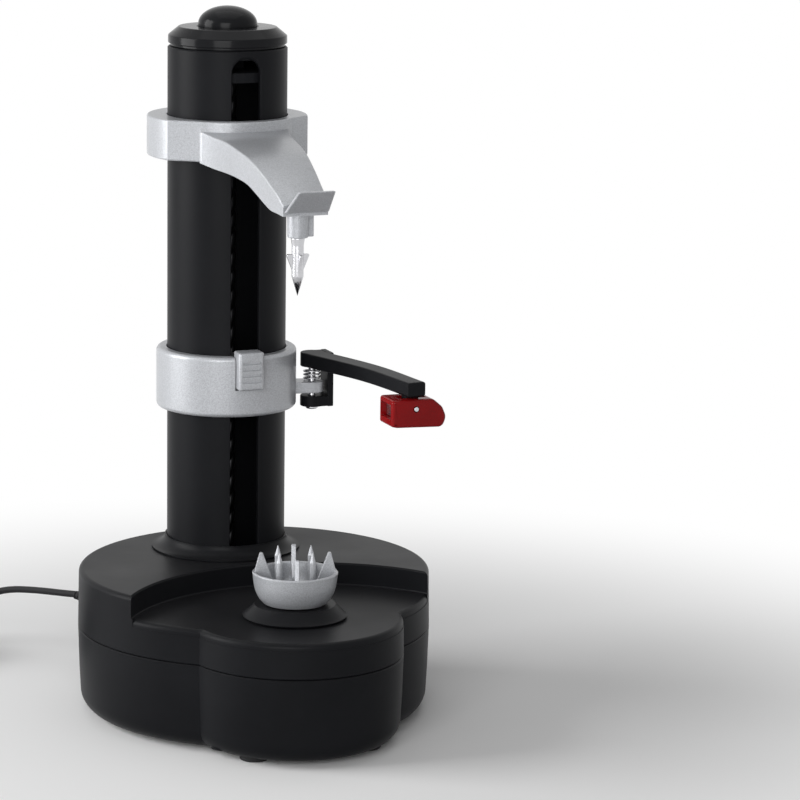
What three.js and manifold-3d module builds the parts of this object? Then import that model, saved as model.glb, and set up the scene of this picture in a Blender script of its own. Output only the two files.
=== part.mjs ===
// An electric peeler: a two level base with its drive train, a slotted column with a lead screw,
// a turning food holder, a peeling arm on a carriage, and an upper arm that pins the food from above.
// Millimetres, +Z up, front towards -Y. The origin is on the floor, under the middle of the base.
import * as THREE from 'three';
import { mergeVertices } from 'three/addons/utils/BufferGeometryUtils.js';
import Module from 'manifold-3d';

const wasm = await Module();
wasm.setup();

// Fits
const fit = 0.3; // gap between two pieces that touch or run in each other
const runningGap = 0.5; // gap between two pieces that move past each other in the open
const overrun = 1; // how far a cutter runs past the face that it opens
const weld = 0.001; // vertices closer than this are one

// Base: a round body with a smaller round lobe at the front, under the food holder
const lobeRadius = 44.5;
const lobeReach = 50.6; // from the centre of the body to the centre of the lobe

const footHeight = 2;
const footRadius = 6;
const wall = 2.4;
const seamHeight = 37.5; // where the bottom shell meets the housing
const lowDeckRise = 14.5;
const lowDeck = seamHeight + lowDeckRise;
const stepHeight = 9.5;
const highDeck = lowDeck + stepHeight;
const bottomRound = 8; // radius of the rounded lower edge
const bottomDraft = 1; // how far the lower edge is drawn in before it is rounded
const deckDraft = 0.4;
const deckEdge = 2; // radius of the decks' outer edges
const stepRadius = 76.5; // the step between the decks is an arc
const stepLead = 25; // how far the arc's centre lies in front of the food holder's axis

// Places of the feet and of the screws that close the base, from the middle of the body or of the lobe
const rearFootSpread = 40;
const rearFootBack = 36;
const frontFootSpread = 24;
const frontFootLead = 20;
const rearScrewSpread = 52;
const rearScrewBack = 29;
const frontScrewSpread = 34;
const frontScrewLead = 12;
const postRadius = 5.5;
const bossRadius = 4.5;
const screwRadius = 1.5;
const screwHeadRadius = 3.2;
const screwHeadHeight = 2.4;
const screwRecess = 22; // how far each screw's head sits above the underside
const screwGrip = 8; // how far each screw reaches into the housing

// Batteries and their bay
const cellRadius = 7.1;
const cellLength = 50;
const cellPitch = 15;
const cellCount = 4;
const cellNubRadius = 2.7;
const cellNubHeight = 1.2;
const bayY = -8;
const bayRoom = 3; // how much wider the bay is than its row of cells
const bayWidth = cellCount * cellPitch + bayRoom;
const bayLength = 56;
const bayRoof = 22.5;
const bayWall = 1.5;
const doorThickness = 2.2;
const doorRib = 1.6;
const doorGripInset = 8; // from the bay's front edge to the middle finger rib
const contactThickness = 0.8;
const contactHeight = 11;

// Gear train: the food holder, an idler and the lead screw turn at one speed
const axisDistance = 88; // from the food holder's axis to the column's
const gearRadius = axisDistance / 4; // pitch radius of the holder's gear, the idler and the screw's gear
const largeTeeth = 32;
const smallTeeth = 8;
const reductionTeeth = 26;
const pinionTeeth = 8;
const toothRise = 1;
const toothDrop = 1.5;
const toothRootShare = 0.56; // widths of a tooth, as shares of the tooth pitch
const toothTipShare = 0.22;
const gearFace = 6;
const plateThickness = 2;
const gearGap = 0.7; // between a gear and the plate below or above it
const lidThickness = 2.5;
const frameHalfWidth = 26;
const framePostRadius = 4;
const framePostSpread = 20;
const axleRadius = 1.5;
const upperGearFace = 4;
const motorRadius = 12;
const motorLength = 26.5;
const motorNeckRadius = 4;
const motorRoom = 8.225; // from the motor to the base's wall

// All gears share the large gears' tooth pitch
function gearPitchRadius(teeth) {
  return (gearRadius * teeth) / largeTeeth;
}
const reductionX = -gearPitchRadius(largeTeeth + smallTeeth);
const motorX = reductionX - gearPitchRadius(reductionTeeth + pinionTeeth);
const baseRadius = motorRadius - motorX + motorRoom + wall;
const bodyY = (lobeReach + lobeRadius - baseRadius) / 2;
const holderY = bodyY - lobeReach;
const columnY = holderY + axisDistance;
const idlerY = (holderY + columnY) / 2;
const boardWidth = 16;
const boardLength = 34;
const boardThickness = 1.6;

// Column and lead screw
const columnRadius = 25;
const columnWall = 2.2;
const columnRise = 213.7; // from the high deck to the top of the tube
const columnTop = highDeck + columnRise;
const slotWidth = 12;
const slotSill = 5; // from the high deck to the slot's lower end
const slotBottom = highDeck + slotSill;
const slotHead = 3.2; // tube left above the slot
const slotTop = columnTop - slotHead;
const footRingRadius = 31.5;
const footRingRise = 5.6;
const footRingTop = highDeck + footRingRise;
const footRingLip = 0.8;
const footRingCollar = 0.9;
const screwCrest = 4;
const screwRoot = 3;
const screwLead = 24;
const screwStarts = 3;
const screwStepsPerTurn = 6;
const screwJournal = 2.5;
const bearingHeight = 4;
const bearingDrop = 13.2; // from the tube's top to the upper bearing's underside
const bearingBottom = columnTop - bearingDrop;
const bearingFlange = 1.5;
const bearingFlangeRadius = 8;

// Cap and power button on top of the column
const capRadius = 24.8;
const capBottom = columnTop + fit;
const capBand = 4.3;
const capRim = capBottom + capBand;
const capSlope = 3.6;
const capTop = capRim + capSlope;
const capFlatRadius = 20.4;
const capWell = 5;
const capFloor = capTop - capWell;
const capSpigot = 4;
const domeRadius = 12.3;
const domeSkirt = 1.1; // how far the button stands above the cap before it domes
const domeRise = 8.5;
const domeTop = capTop + domeRise;
const domeWall = 2.5;
const buttonTravel = 2.3;
const stemRadius = 3.2;
const switchWidth = 12;
const switchDepth = 6.5;
const switchHeight = 4.8;

// Food holder
const cupRimRadius = 17.4;
const cupBottomRadius = 13;
const cupLift = 5.8; // from the low deck to the cup's underside
const cupBottom = lowDeck + cupLift;
const cupDepth = 13.2;
const cupRim = cupBottom + cupDepth;
const cupWall = 1.6;
const finRise = 8;
const finTop = cupRim + finRise;
const finThickness = 1.8;
const finInner = 8.5;
const finLean = 2.2; // how far each fin's outer edge leans inward from the rim to its top
const finCount = 4;
const spikeRadius = 1.3;
const spikeRise = 9;
const spikeTop = cupRim + spikeRise;
const spikeRing = 9.5;
const holderTurnShare = 0.156; // the first spike's direction from +X at rest, as a share of half a turn
const skirtRadius = 21.3;
const skirtTopRadius = 17;
const skirtTop = cupBottom - fit;
const spindleRadius = 4;
const bushRadius = 6.5;

// Carriage on the column
const carriageBottom = 123;
const carriageHeight = 25.5;
const carriageTop = carriageBottom + carriageHeight;
const carriageRadius = 29.6;
const carriageBore = 25.4;
const carriageRound = 1.8;
const slotKeyDepth = 2.1; // how far a key reaches into the column's slot, short of the column's hollow
const latchWidth = 11;
const latchLift = 12;
const latchBottom = carriageBottom + latchLift;
const latchHeight = 16;
const latchTop = latchBottom + latchHeight;
const latchReach = 33.4;
const nutHeight = 11;

// Peeling arm and blade head
const hingeX = 36;
const hingeLead = 7.2; // the hinge lies this far in front of the column's axis
const hingeRadius = 5;
const hingePinRadius = 1.5;
const hingePinHead = 2.6;
const earLift = 4.8;
const earBottom = carriageBottom + earLift;
const earHeight = 4.8;
const earTop = earBottom + earHeight;
const lugGap = 1.5; // between the collar's ear and the arm's lower lug
const lugHeight = 4.5;
const lugTop = earBottom - lugGap;
const lugBottom = lugTop - lugHeight;
const springRoom = 6.3; // from the ear to the arm, where the spring sits
const armBottom = earTop + springRoom;
const armHeight = 6;
const armTop = armBottom + armHeight;
const armWidth = 8;
const armElbowX = 48;
const armElbowLead = 46;
const armTipX = 53.5;
const armTipLead = 84;
const webThickness = 2.6;
const headWidth = 24;
const headDepth = 15;
const headHeight = 12.1;
const headGap = 1.2; // room under the arm for the head to tilt
const headOutward = 1.5; // the head's middle lies this far outward of the arm's tip
const headWall = 2;
const bladePinRadius = 1;
const bladeThickness = 0.7;
const bladeReach = 3.2;
const lugWidth = 6;
const lugDrop = 7.5;
const hingeRange = Math.hypot(hingeX, hingeLead);
const headLead = armTipLead - headDepth / 2;
const headTop = armBottom - headGap;
const tiltHeight = armBottom - lugDrop + 2 * bladePinRadius + fit;
const headOutlineShares = [ // across, from the middle to each side, and up from the underside
  [-1, 0.1], [-1, 1], [0.5, 1], [0.85, 0.7], [1, 0.35], [0.86, 0], [-0.8, 0.05],
];

// Upper arm
const upperBottom = 229.9;
const upperHeight = 16.8;
const upperTop = upperBottom + upperHeight;
const upperRingRadius = 33.6;
const upperNeckRadius = 29.7;
const upperBore = 25.4;
const shoulderAngleShare = 0.36; // half the front angle without the full ring, as a share of half a turn
const neckAngleShare = 0.26;
const archHalfWidth = 21.5;
const archDrop = 28.6;
const archWall = 2.4;
const archEdge = 1.2;
const lipHalfWidth = 9.2;
const lipTopHalfWidth = 7.6;
const lipThickness = 2.6;
const lipBottomLead = 99;
const lipTopLead = 111;
const lipDrop = 10.9; // from the ring's underside to the lip's lower edge
const lipHeight = 10;
const lipBottom = upperBottom - lipDrop;
const lipTop = lipBottom + lipHeight;
const bossOuter = 4.2;
const bossLength = 11.3;
const bossBottom = lipBottom - bossLength;
const bossRibReach = 6.4;
const bossRibWidth = 2.4;
const topSpikeShaft = 2;
const topSpikeNeck = 2.4;
const topSpikeCone = 2.8;
const topSpikeConeHeight = 3;
const topSpikeReach = 23.7;
const topSpikePoint = 8;
const topSpikeTip = bossBottom - topSpikeReach;
const topSpikeShoulder = topSpikeTip + topSpikePoint;
const topFinReach = 5;
const topFinHeight = 9;
const topFinThickness = 1.4;
const releaseWidth = 12;
const releaseHeight = 8.7;
const releaseReach = 35.4;
const releaseTravel = 2;
const releaseWeb = 2;
const releaseStem = 1.8;
const releaseMiddle = (upperBottom + upperTop) / 2;

// Springs
const springWire = 0.8;
const springSteps = 8;
const springSides = 5;
const buttonSpringRadius = 5.4;
const buttonSpringCurls = 4;
const hingeSpringRadius = 3.4;
const hingeSpringCurls = 3;
const releaseSpringRadius = 2.8;
const releaseSpringCurls = 2;

// Power lead: a thin round cord with a barrel plug, wound up behind the left of the peeler
const cordRadius = 1.5;
const cordSides = 8;
const cordStep = 8;
const jackAngleShare = 2 / 3; // the jack's direction from +X, as a share of half a turn
const jackDrop = 6.5; // from the seam down to the jack's axis
const jackHeight = seamHeight - jackDrop;
const jackBody = 9;
const jackDepth = 12;
const jackNose = 3.6;
const barrelRadius = 2.6;
const barrelLength = 9.5;
const gripRadius = 4.6;
const gripLength = 17;
const reliefLength = 12;
const reliefRadius = 2.9;
const reliefRibs = 4;
const coilMeanRadius = 18;
const coilLoops = 12;
const coilLayers = 4;
const coilPitch = 3.6;
const coilX = -122;
const coilY = 132;
const coilSteps = 18;
const coilSides = 6;
const adapterWidth = 30;
const adapterLength = 44;
const adapterHeight = 26;
const adapterX = -170;
const adapterY = 152;
const adapterRound = 4;
const adapterNub = 8;
const prongWidth = 6.4;
const prongThickness = 1.6;
const prongLength = 16;
const prongSpacing = 12.7;

const circleSteps = 36;
const smallSteps = 12;
const screwSteps = 8;
const bodySteps = 32;
const lobeSteps = 12;
const roundSteps = 3;
const stepSteps = 56;
const domeSteps = 6;
const barSteps = 8;
const quarter = Math.PI / 2;

// Finishes
const finishes = {
  blackPlastic: { color: 0x15161a, roughness: 0.38, metalness: 0 },
  darkPlastic: { color: 0x232428, roughness: 0.55, metalness: 0 },
  silverPaint: { color: 0xb2b4ba, roughness: 0.34, metalness: 0.25 },
  redPlastic: { color: 0xa3121a, roughness: 0.25, metalness: 0 },
  whitePlastic: { color: 0xe4e2da, roughness: 0.45, metalness: 0 },
  steel: { color: 0xb9bcc0, roughness: 0.25, metalness: 1 },
  brass: { color: 0xb9985a, roughness: 0.3, metalness: 1 },
  rubber: { color: 0x1d1d1f, roughness: 0.85, metalness: 0 },
  board: { color: 0x2c5b3c, roughness: 0.5, metalness: 0 },
  cell: { color: 0x5b6470, roughness: 0.35, metalness: 0.4 },
};

// A closed geometry as a manifold solid, whichever way its faces were wound
function solidOf(geometry) {
  const bare = geometry.clone();
  for (const name of Object.keys(bare.attributes)) {
    if (name !== 'position') bare.deleteAttribute(name);
  }
  const merged = mergeVertices(bare, weld);
  const faces = merged.index.array;
  const kept = [];
  for (let i = 0; i < faces.length; i += 3) {
    const [a, b, c] = faces.subarray(i, i + 3);
    if (a !== b && b !== c && c !== a) kept.push(a, b, c);
  }
  const vertProperties = new Float32Array(merged.attributes.position.array);
  const build = (list) => new wasm.Manifold(
    new wasm.Mesh({ numProp: 3, vertProperties, triVerts: new Uint32Array(list) }),
  );
  const made = build(kept);
  return made.volume() < 0 ? build(kept.reverse()) : made;
}

// A manifold solid as a geometry with normals
function geometryOf(solid) {
  const mesh = solid.getMesh();
  const positions = new Float32Array(mesh.numVert * 3);
  for (let i = 0; i < mesh.numVert; i++) {
    positions.set(mesh.vertProperties.subarray(i * mesh.numProp, i * mesh.numProp + 3), i * 3);
  }
  const geometry = new THREE.BufferGeometry();
  geometry.setAttribute('position', new THREE.BufferAttribute(positions, 3));
  geometry.setIndex(new THREE.BufferAttribute(mesh.triVerts, 1));
  geometry.computeVertexNormals();
  return geometry;
}

function join(...geometries) {
  return geometryOf(geometries.map(solidOf).reduce((sum, next) => sum.add(next)));
}

function cut(geometry, ...cutters) {
  return geometryOf(cutters.map(solidOf).reduce((rest, next) => rest.subtract(next), solidOf(geometry)));
}

// An upright prism over an outline of Vector2 points
function prism(outline, bottom, top) {
  const geometry = new THREE.ExtrudeGeometry(new THREE.Shape(outline), {
    depth: top - bottom,
    bevelEnabled: false,
  });
  return geometry.translate(0, 0, bottom);
}

function disc(radius, bottom, top, x = 0, y = 0, steps = circleSteps) {
  const geometry = new THREE.CylinderGeometry(radius, radius, top - bottom, steps);
  return geometry.rotateX(Math.PI / 2).translate(x, y, (bottom + top) / 2);
}

// A box that stands on the height called bottom, around the point x, y
function block(width, depth, bottom, top, x = 0, y = 0) {
  return new THREE.BoxGeometry(width, depth, top - bottom).translate(x, y, (bottom + top) / 2);
}

// A solid of revolution about +Z from [radius, height] pairs
function turned(profile, steps = circleSteps) {
  const points = profile.map(([radius, height]) => new THREE.Vector2(radius, height));
  return new THREE.LatheGeometry(points, steps).rotateX(Math.PI / 2);
}

function ringProfile(inner, outer, bottom, top) {
  return [[inner, bottom], [outer, bottom], [outer, top], [inner, top], [inner, bottom]];
}

function arc(x, y, radius, start, end, steps) {
  return Array.from({ length: steps + 1 }, (_, i) => {
    const angle = start + ((end - start) * i) / steps;
    return new THREE.Vector2(x + radius * Math.cos(angle), y + radius * Math.sin(angle));
  });
}

// Triangles that close a flat ring, wound the way the ring runs
function capFaces(outline) {
  const side = Math.sign(THREE.ShapeUtils.area(outline));
  return THREE.ShapeUtils.triangulateShape(outline, []).map(([a, b, c]) => {
    const same = Math.sign(THREE.ShapeUtils.area([outline[a], outline[b], outline[c]])) === side;
    return same ? [a, b, c] : [a, c, b];
  });
}

// A closed skin through rings of Vector3 points, where each end's points are flattened to close it
function loft(rings, flattenFirst = (p) => new THREE.Vector2(p.x, p.y), flattenLast = flattenFirst) {
  const count = rings[0].length;
  const faces = [];
  for (let i = 0; i < rings.length - 1; i++) {
    for (let j = 0; j < count; j++) {
      const [a, b] = [i * count + j, i * count + ((j + 1) % count)];
      faces.push(a, b, b + count, a, b + count, a + count);
    }
  }
  const last = (rings.length - 1) * count;
  capFaces(rings[0].map(flattenFirst)).forEach(([a, b, c]) => faces.push(a, c, b));
  capFaces(rings.at(-1).map(flattenLast)).forEach(([a, b, c]) => faces.push(last + a, last + b, last + c));
  const geometry = new THREE.BufferGeometry();
  const positions = rings.flat().flatMap((p) => [p.x, p.y, p.z]);
  geometry.setAttribute('position', new THREE.Float32BufferAttribute(positions, 3));
  geometry.setIndex(faces);
  return geometry;
}

// A round tube through points, with its ends square to its run
function tube(points, radius, sides) {
  let across = new THREE.Vector3(0, 0, 1);
  const frames = points.map((centre, i) => {
    const before = points[Math.max(i - 1, 0)];
    const after = points[Math.min(i + 1, points.length - 1)];
    const tangent = after.clone().sub(before).normalize();
    across = across.clone().addScaledVector(tangent, -across.dot(tangent)).normalize();
    return { centre, across, up: tangent.clone().cross(across) };
  });
  const rings = frames.map((frame) => Array.from({ length: sides }, (_, k) => {
    const angle = (2 * Math.PI * (k + 1 / 2)) / sides;
    return frame.centre.clone()
      .addScaledVector(frame.across, radius * Math.cos(angle))
      .addScaledVector(frame.up, radius * Math.sin(angle));
  }));
  const flattenIn = (frame) => (p) => {
    const offset = p.clone().sub(frame.centre);
    return new THREE.Vector2(offset.dot(frame.across), offset.dot(frame.up));
  };
  return loft(rings, flattenIn(frames[0]), flattenIn(frames.at(-1)));
}

// Prints the least distance between two stretches of a wound tube, less its diameter
function printLeastGap(name, points, radius, stepsApart) {
  let least = Infinity;
  for (let i = 0; i < points.length; i++) {
    for (let j = i + stepsApart; j < points.length; j++) {
      least = Math.min(least, points[i].distanceTo(points[j]));
    }
  }
  console.log(name + ': least gap to itself ' + (least - 2 * radius).toFixed(2) + ' mm');
}

// A spring that winds about +Z from bottom to top
function spring(name, radius, bottom, top, curls) {
  const steps = curls * springSteps;
  const rise = top - bottom - springWire;
  const points = Array.from({ length: steps + 1 }, (_, i) => {
    const angle = (2 * Math.PI * i) / springSteps;
    const height = bottom + springWire / 2 + (rise * i) / steps;
    return new THREE.Vector3(radius * Math.cos(angle), radius * Math.sin(angle), height);
  });
  printLeastGap(name, points, springWire / 2, springSteps / 2);
  return tube(points, springWire / 2, springSides);
}

function group(parent, x = 0, y = 0, z = 0, turn = 0) {
  const made = new THREE.Group();
  made.position.set(x, y, z);
  made.rotation.z = turn;
  parent.add(made);
  return made;
}

function piece(parent, name, geometry, finish) {
  const mesh = new THREE.Mesh(geometry, new THREE.MeshStandardMaterial(finishes[finish]));
  mesh.name = name;
  parent.add(mesh);
  return mesh;
}

// The base's outline, drawn in by inset: most of a circle, closed at the front by the lobe's arc
function baseOutline(inset) {
  const body = baseRadius - inset;
  const lobe = lobeRadius - inset;
  const along = (body * body - lobe * lobe + lobeReach * lobeReach) / (2 * lobeReach);
  const across = Math.sqrt(body * body - along * along);
  const bodyTurn = Math.atan2(across, along);
  const lobeTurn = Math.atan2(across, along - lobeReach);
  const front = -Math.PI / 2;
  const bodyArc = arc(0, bodyY, body, front + bodyTurn, front - bodyTurn + 2 * Math.PI, bodySteps);
  const lobeArc = arc(0, holderY, lobe, front - lobeTurn, front + lobeTurn, lobeSteps);
  return [...bodyArc, ...lobeArc.slice(1, -1)];
}

function baseRing(inset, height) {
  return baseOutline(inset).map((p) => new THREE.Vector3(p.x, p.y, height));
}

// Rings of a rounded upper edge
function upperEdge(inset, top, radius) {
  return Array.from({ length: roundSteps + 1 }, (_, i) => {
    const angle = (Math.PI / 2) * (i / roundSteps);
    return baseRing(inset + radius * (1 - Math.cos(angle)), top - radius * (1 - Math.sin(angle)));
  });
}

// Rings of a rounded lower edge
function lowerEdge(inset, bottom, radius) {
  return Array.from({ length: roundSteps + 1 }, (_, i) => {
    const angle = (Math.PI / 2) * (i / roundSteps);
    return baseRing(inset + radius * (1 - Math.sin(angle)), bottom + radius * (1 - Math.cos(angle)));
  });
}

const stepY = holderY - stepLead;
const jackTurn = Math.PI * jackAngleShare;
const feetPlaces = [
  [-rearFootSpread, bodyY + rearFootBack],
  [rearFootSpread, bodyY + rearFootBack],
  [-frontFootSpread, holderY - frontFootLead],
  [frontFootSpread, holderY - frontFootLead],
];
const screwPlaces = [
  [-rearScrewSpread, bodyY + rearScrewBack],
  [rearScrewSpread, bodyY + rearScrewBack],
  [-frontScrewSpread, holderY - frontScrewLead],
  [frontScrewSpread, holderY - frontScrewLead],
];
const floorTop = footHeight + wall;
const screwSeat = footHeight + screwRecess + screwHeadHeight;
const screwTip = seamHeight + screwGrip;

function bottomShell() {
  const outer = loft([...lowerEdge(bottomDraft, footHeight, bottomRound), baseRing(0, seamHeight - fit)]);
  const inner = loft([
    baseRing(bottomRound, floorTop), baseRing(bottomDraft + wall, floorTop + bottomRound - wall),
    baseRing(wall, seamHeight + overrun),
  ]);
  const posts = screwPlaces.map(([x, y]) => (
    disc(postRadius, floorTop - overrun, seamHeight - fit, x, y, screwSteps)
  ));
  const recesses = screwPlaces.flatMap(([x, y]) => [
    disc(screwHeadRadius + fit, footHeight - overrun, screwSeat, x, y, screwSteps),
    disc(screwRadius + fit, screwSeat - overrun, seamHeight + overrun, x, y, screwSteps),
  ]);
  const bay = block(bayWidth, bayLength, footHeight - overrun, floorTop + overrun, 0, bayY);
  const jackHole = disc(jackNose + fit, baseRadius - jackDepth, baseRadius + overrun, 0, 0, smallSteps)
    .rotateY(Math.PI / 2).rotateZ(jackTurn).translate(0, bodyY, jackHeight);
  return cut(join(cut(outer, inner), ...posts), ...recesses, bay, jackHole);
}

function housing() {
  const low = loft([baseRing(0, seamHeight), ...upperEdge(deckDraft, lowDeck, deckEdge)]);
  const high = loft([baseRing(0, seamHeight), ...upperEdge(deckDraft, highDeck, deckEdge)]);
  const stepBottom = lowDeck - deckEdge - overrun;
  const step = disc(stepRadius, stepBottom, highDeck + overrun, 0, stepY, stepSteps);
  const innerStep = disc(
    stepRadius + wall, lowDeck - wall, highDeck + overrun, 0, stepY, stepSteps,
  );
  const hollow = cut(
    loft([baseRing(wall, seamHeight - overrun), baseRing(wall + deckDraft, highDeck - wall)]),
    innerStep,
  );
  const shell = cut(join(low, cut(high, step)), hollow);
  const bosses = screwPlaces.map(([x, y], i) => (
    disc(bossRadius, seamHeight, (i < 2 ? highDeck : lowDeck) - wall / 2, x, y, screwSteps)
  ));
  const holes = screwPlaces.map(([x, y]) => (
    disc(screwRadius + fit, seamHeight - overrun, screwTip + fit, x, y, screwSteps)
  ));
  const columnHole = disc(columnRadius + fit, seamHeight, highDeck + overrun, 0, columnY);
  const bushHole = disc(bushRadius + fit, seamHeight, highDeck, 0, holderY, smallSteps);
  return cut(join(shell, ...bosses), ...holes, columnHole, bushHole);
}

function foot(x, y) {
  return disc(footRadius, 0, footHeight, x, y, smallSteps);
}

function housingScrew(x, y) {
  return turned([
    [0, screwSeat - screwHeadHeight], [screwHeadRadius, screwSeat - screwHeadHeight],
    [screwHeadRadius, screwSeat], [screwRadius, screwSeat], [screwRadius, screwTip], [0, screwTip],
  ], screwSteps).translate(x, y, 0);
}

// Battery bay: a tray roof over four cells side by side, contact strips and a door underneath
const cellHeight = floorTop + runningGap + cellRadius;

function batteryTray() {
  const outer = block(bayWidth + 2 * bayWall, bayLength + 2 * bayWall, floorTop, bayRoof, 0, bayY);
  const inner = block(bayWidth, bayLength, floorTop - overrun, bayRoof - bayWall, 0, bayY);
  return cut(outer, inner);
}

function batteryDoor() {
  const top = footHeight + doorThickness;
  const plate = block(bayWidth - 2 * fit, bayLength - 2 * fit, footHeight + fit, top, 0, bayY);
  const grips = [-1, 0, 1].map((i) => (
    block(bayWidth / 3, doorRib, footHeight, footHeight + fit + doorRib,
      0, bayY - bayLength / 2 + doorGripInset + i * 2 * doorRib)
  ));
  return cut(plate, ...grips);
}

function cell() {
  const half = cellLength / 2;
  return turned([
    [0, -half], [cellRadius, -half], [cellRadius, half - cellNubHeight],
    [cellNubRadius, half - cellNubHeight], [cellNubRadius, half], [0, half],
  ], smallSteps);
}

function contactStrip() {
  return block(bayWidth - 2 * runningGap, contactThickness, 0, contactHeight);
}

function batteryBay(root) {
  piece(root, 'battery_holder', batteryTray(), 'darkPlastic');
  piece(root, 'battery_door', batteryDoor(), 'blackPlastic');
  for (let i = 0; i < cellCount; i++) {
    const x = (i - (cellCount - 1) / 2) * cellPitch;
    const mesh = piece(root, 'battery_cell_' + (i + 1), cell(), 'cell');
    mesh.rotation.x = (i % 2 ? 1 : -1) * Math.PI / 2;
    mesh.position.set(x, bayY, cellHeight);
  }
  for (const [name, side] of [['front', -1], ['rear', 1]]) {
    const mesh = piece(root, 'battery_contact_' + name, contactStrip(), 'steel');
    mesh.position.set(0, bayY + side * (cellLength / 2 + fit + contactThickness / 2), floorTop + fit);
  }
}

// Gears: straight teeth on a polygon, with one tooth at the angle called phase
function gearOutline(teeth, phase) {
  const pitchRadius = gearPitchRadius(teeth);
  const pitch = (2 * Math.PI) / teeth;
  const at = (radius, angle) => new THREE.Vector2(radius * Math.cos(angle), radius * Math.sin(angle));
  return Array.from({ length: teeth }, (_, i) => {
    const middle = phase + i * pitch;
    const root = (pitch * toothRootShare) / 2;
    const tip = (pitch * toothTipShare) / 2;
    return [
      at(pitchRadius - toothDrop, middle - root), at(pitchRadius + toothRise, middle - tip),
      at(pitchRadius + toothRise, middle + tip), at(pitchRadius - toothDrop, middle + root),
    ];
  }).flat();
}

function gear(teeth, phase, bottom, top) {
  return prism(gearOutline(teeth, phase), bottom, top);
}

const largePitch = Math.PI / largeTeeth; // half the angle from one tooth to the next
const frameTop = bayRoof + plateThickness;
const gearBottom = frameTop + gearGap;
const gearTop = gearBottom + gearFace;
const lidBottom = gearTop + 2 * gearGap;
const lidTop = lidBottom + lidThickness;
const upperGearBottom = lidTop + 2 * gearGap;
const smallTip = gearPitchRadius(smallTeeth) + toothRise;
const framePosts = [-1, 1].flatMap((side) => [
  [side * framePostSpread, (holderY + idlerY) / 2],
  [side * framePostSpread, (columnY + idlerY) / 2],
]);

function framePlate(bottom, top) {
  const waist = block(2 * frameHalfWidth, axisDistance, bottom, top, 0, idlerY);
  const ends = [holderY, columnY].map((y) => disc(frameHalfWidth, bottom, top, 0, y));
  const ear = disc(smallTip + wall, bottom, top, reductionX, idlerY, smallSteps);
  return join(waist, ...ends, ear);
}

function gearFrame() {
  const posts = framePosts.map(([x, y]) => (
    disc(framePostRadius, frameTop - overrun, lidBottom, x, y, smallSteps)
  ));
  const holes = [
    disc(spindleRadius + fit, bayRoof - overrun, lidBottom, 0, holderY, smallSteps),
    disc(screwRoot + fit, bayRoof - overrun, lidBottom, 0, columnY, smallSteps),
  ];
  const axles = [
    disc(axleRadius, frameTop - overrun, lidTop, 0, idlerY, screwSteps),
    disc(axleRadius, frameTop - overrun, upperGearBottom + upperGearFace, reductionX, idlerY, screwSteps),
  ];
  return cut(join(framePlate(bayRoof, frameTop), ...posts, ...axles), ...holes);
}

function gearLid() {
  const motorPad = disc(motorRadius + wall, lidBottom, lidTop, motorX, idlerY);
  const bridge = block(-motorX, 2 * motorRadius, lidBottom, lidTop, motorX / 2, idlerY);
  const holes = [
    disc(spindleRadius + fit, lidBottom - overrun, lidTop + overrun, 0, holderY, smallSteps),
    disc(screwRoot + fit, lidBottom - overrun, lidTop + overrun, 0, columnY, smallSteps),
    disc(axleRadius + fit, lidBottom - overrun, lidTop + overrun, 0, idlerY, screwSteps),
    disc(smallTip + runningGap, lidBottom - overrun, lidTop + overrun, reductionX, idlerY, smallSteps),
    disc(motorNeckRadius + fit, lidBottom - overrun, lidTop + overrun, motorX, idlerY, smallSteps),
  ];
  return cut(join(framePlate(lidBottom, lidTop), motorPad, bridge), ...holes);
}

function largeGear(phase, bore) {
  const hub = disc(bore + wall, gearBottom, gearTop + gearGap, 0, 0, smallSteps);
  const hole = disc(bore + fit, gearBottom - overrun, gearTop + 2 * overrun, 0, 0, smallSteps);
  return cut(join(gear(largeTeeth, phase, gearBottom, gearTop), hub), hole);
}

// The reduction gear is one moulding: a small gear below the lid, a neck through it, a large one above
function reductionGear() {
  const small = gear(smallTeeth, 0, gearBottom, gearTop);
  const neck = disc(smallTip, gearTop, upperGearBottom, 0, 0, smallSteps);
  const large = gear(reductionTeeth, 0, upperGearBottom, upperGearBottom + upperGearFace);
  const hole = disc(axleRadius + fit, frameTop, lowDeck, 0, 0, screwSteps);
  return cut(join(small, neck, large), hole);
}

function motor() {
  const can = disc(motorRadius, lidBottom - motorLength, lidBottom, 0, 0, 2 * smallSteps);
  const neck = disc(motorNeckRadius, lidBottom - overrun, lidTop - fit, 0, 0, smallSteps);
  const bore = disc(axleRadius + fit, lidBottom - 2 * overrun, lidTop + overrun, 0, 0, screwSteps);
  return cut(join(can, neck), bore);
}

function motorPinion() {
  const shaft = disc(axleRadius, lidBottom - overrun, upperGearBottom + overrun, 0, 0, screwSteps);
  const phase = Math.PI / pinionTeeth;
  return join(shaft, gear(pinionTeeth, phase, upperGearBottom, upperGearBottom + upperGearFace));
}

function circuitBoard() {
  const board = block(boardWidth, boardLength, lidTop + overrun, lidTop + overrun + boardThickness);
  const chip = block(boardWidth / 2, boardWidth / 2, lidTop + overrun, lidTop + 3 * boardThickness);
  const posts = [-1, 1].map((side) => (
    disc(screwRadius, lidTop, lidTop + 2 * overrun, 0, side * (boardLength / 2 - wall), screwSteps)
  ));
  return join(board, chip, ...posts);
}

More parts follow.
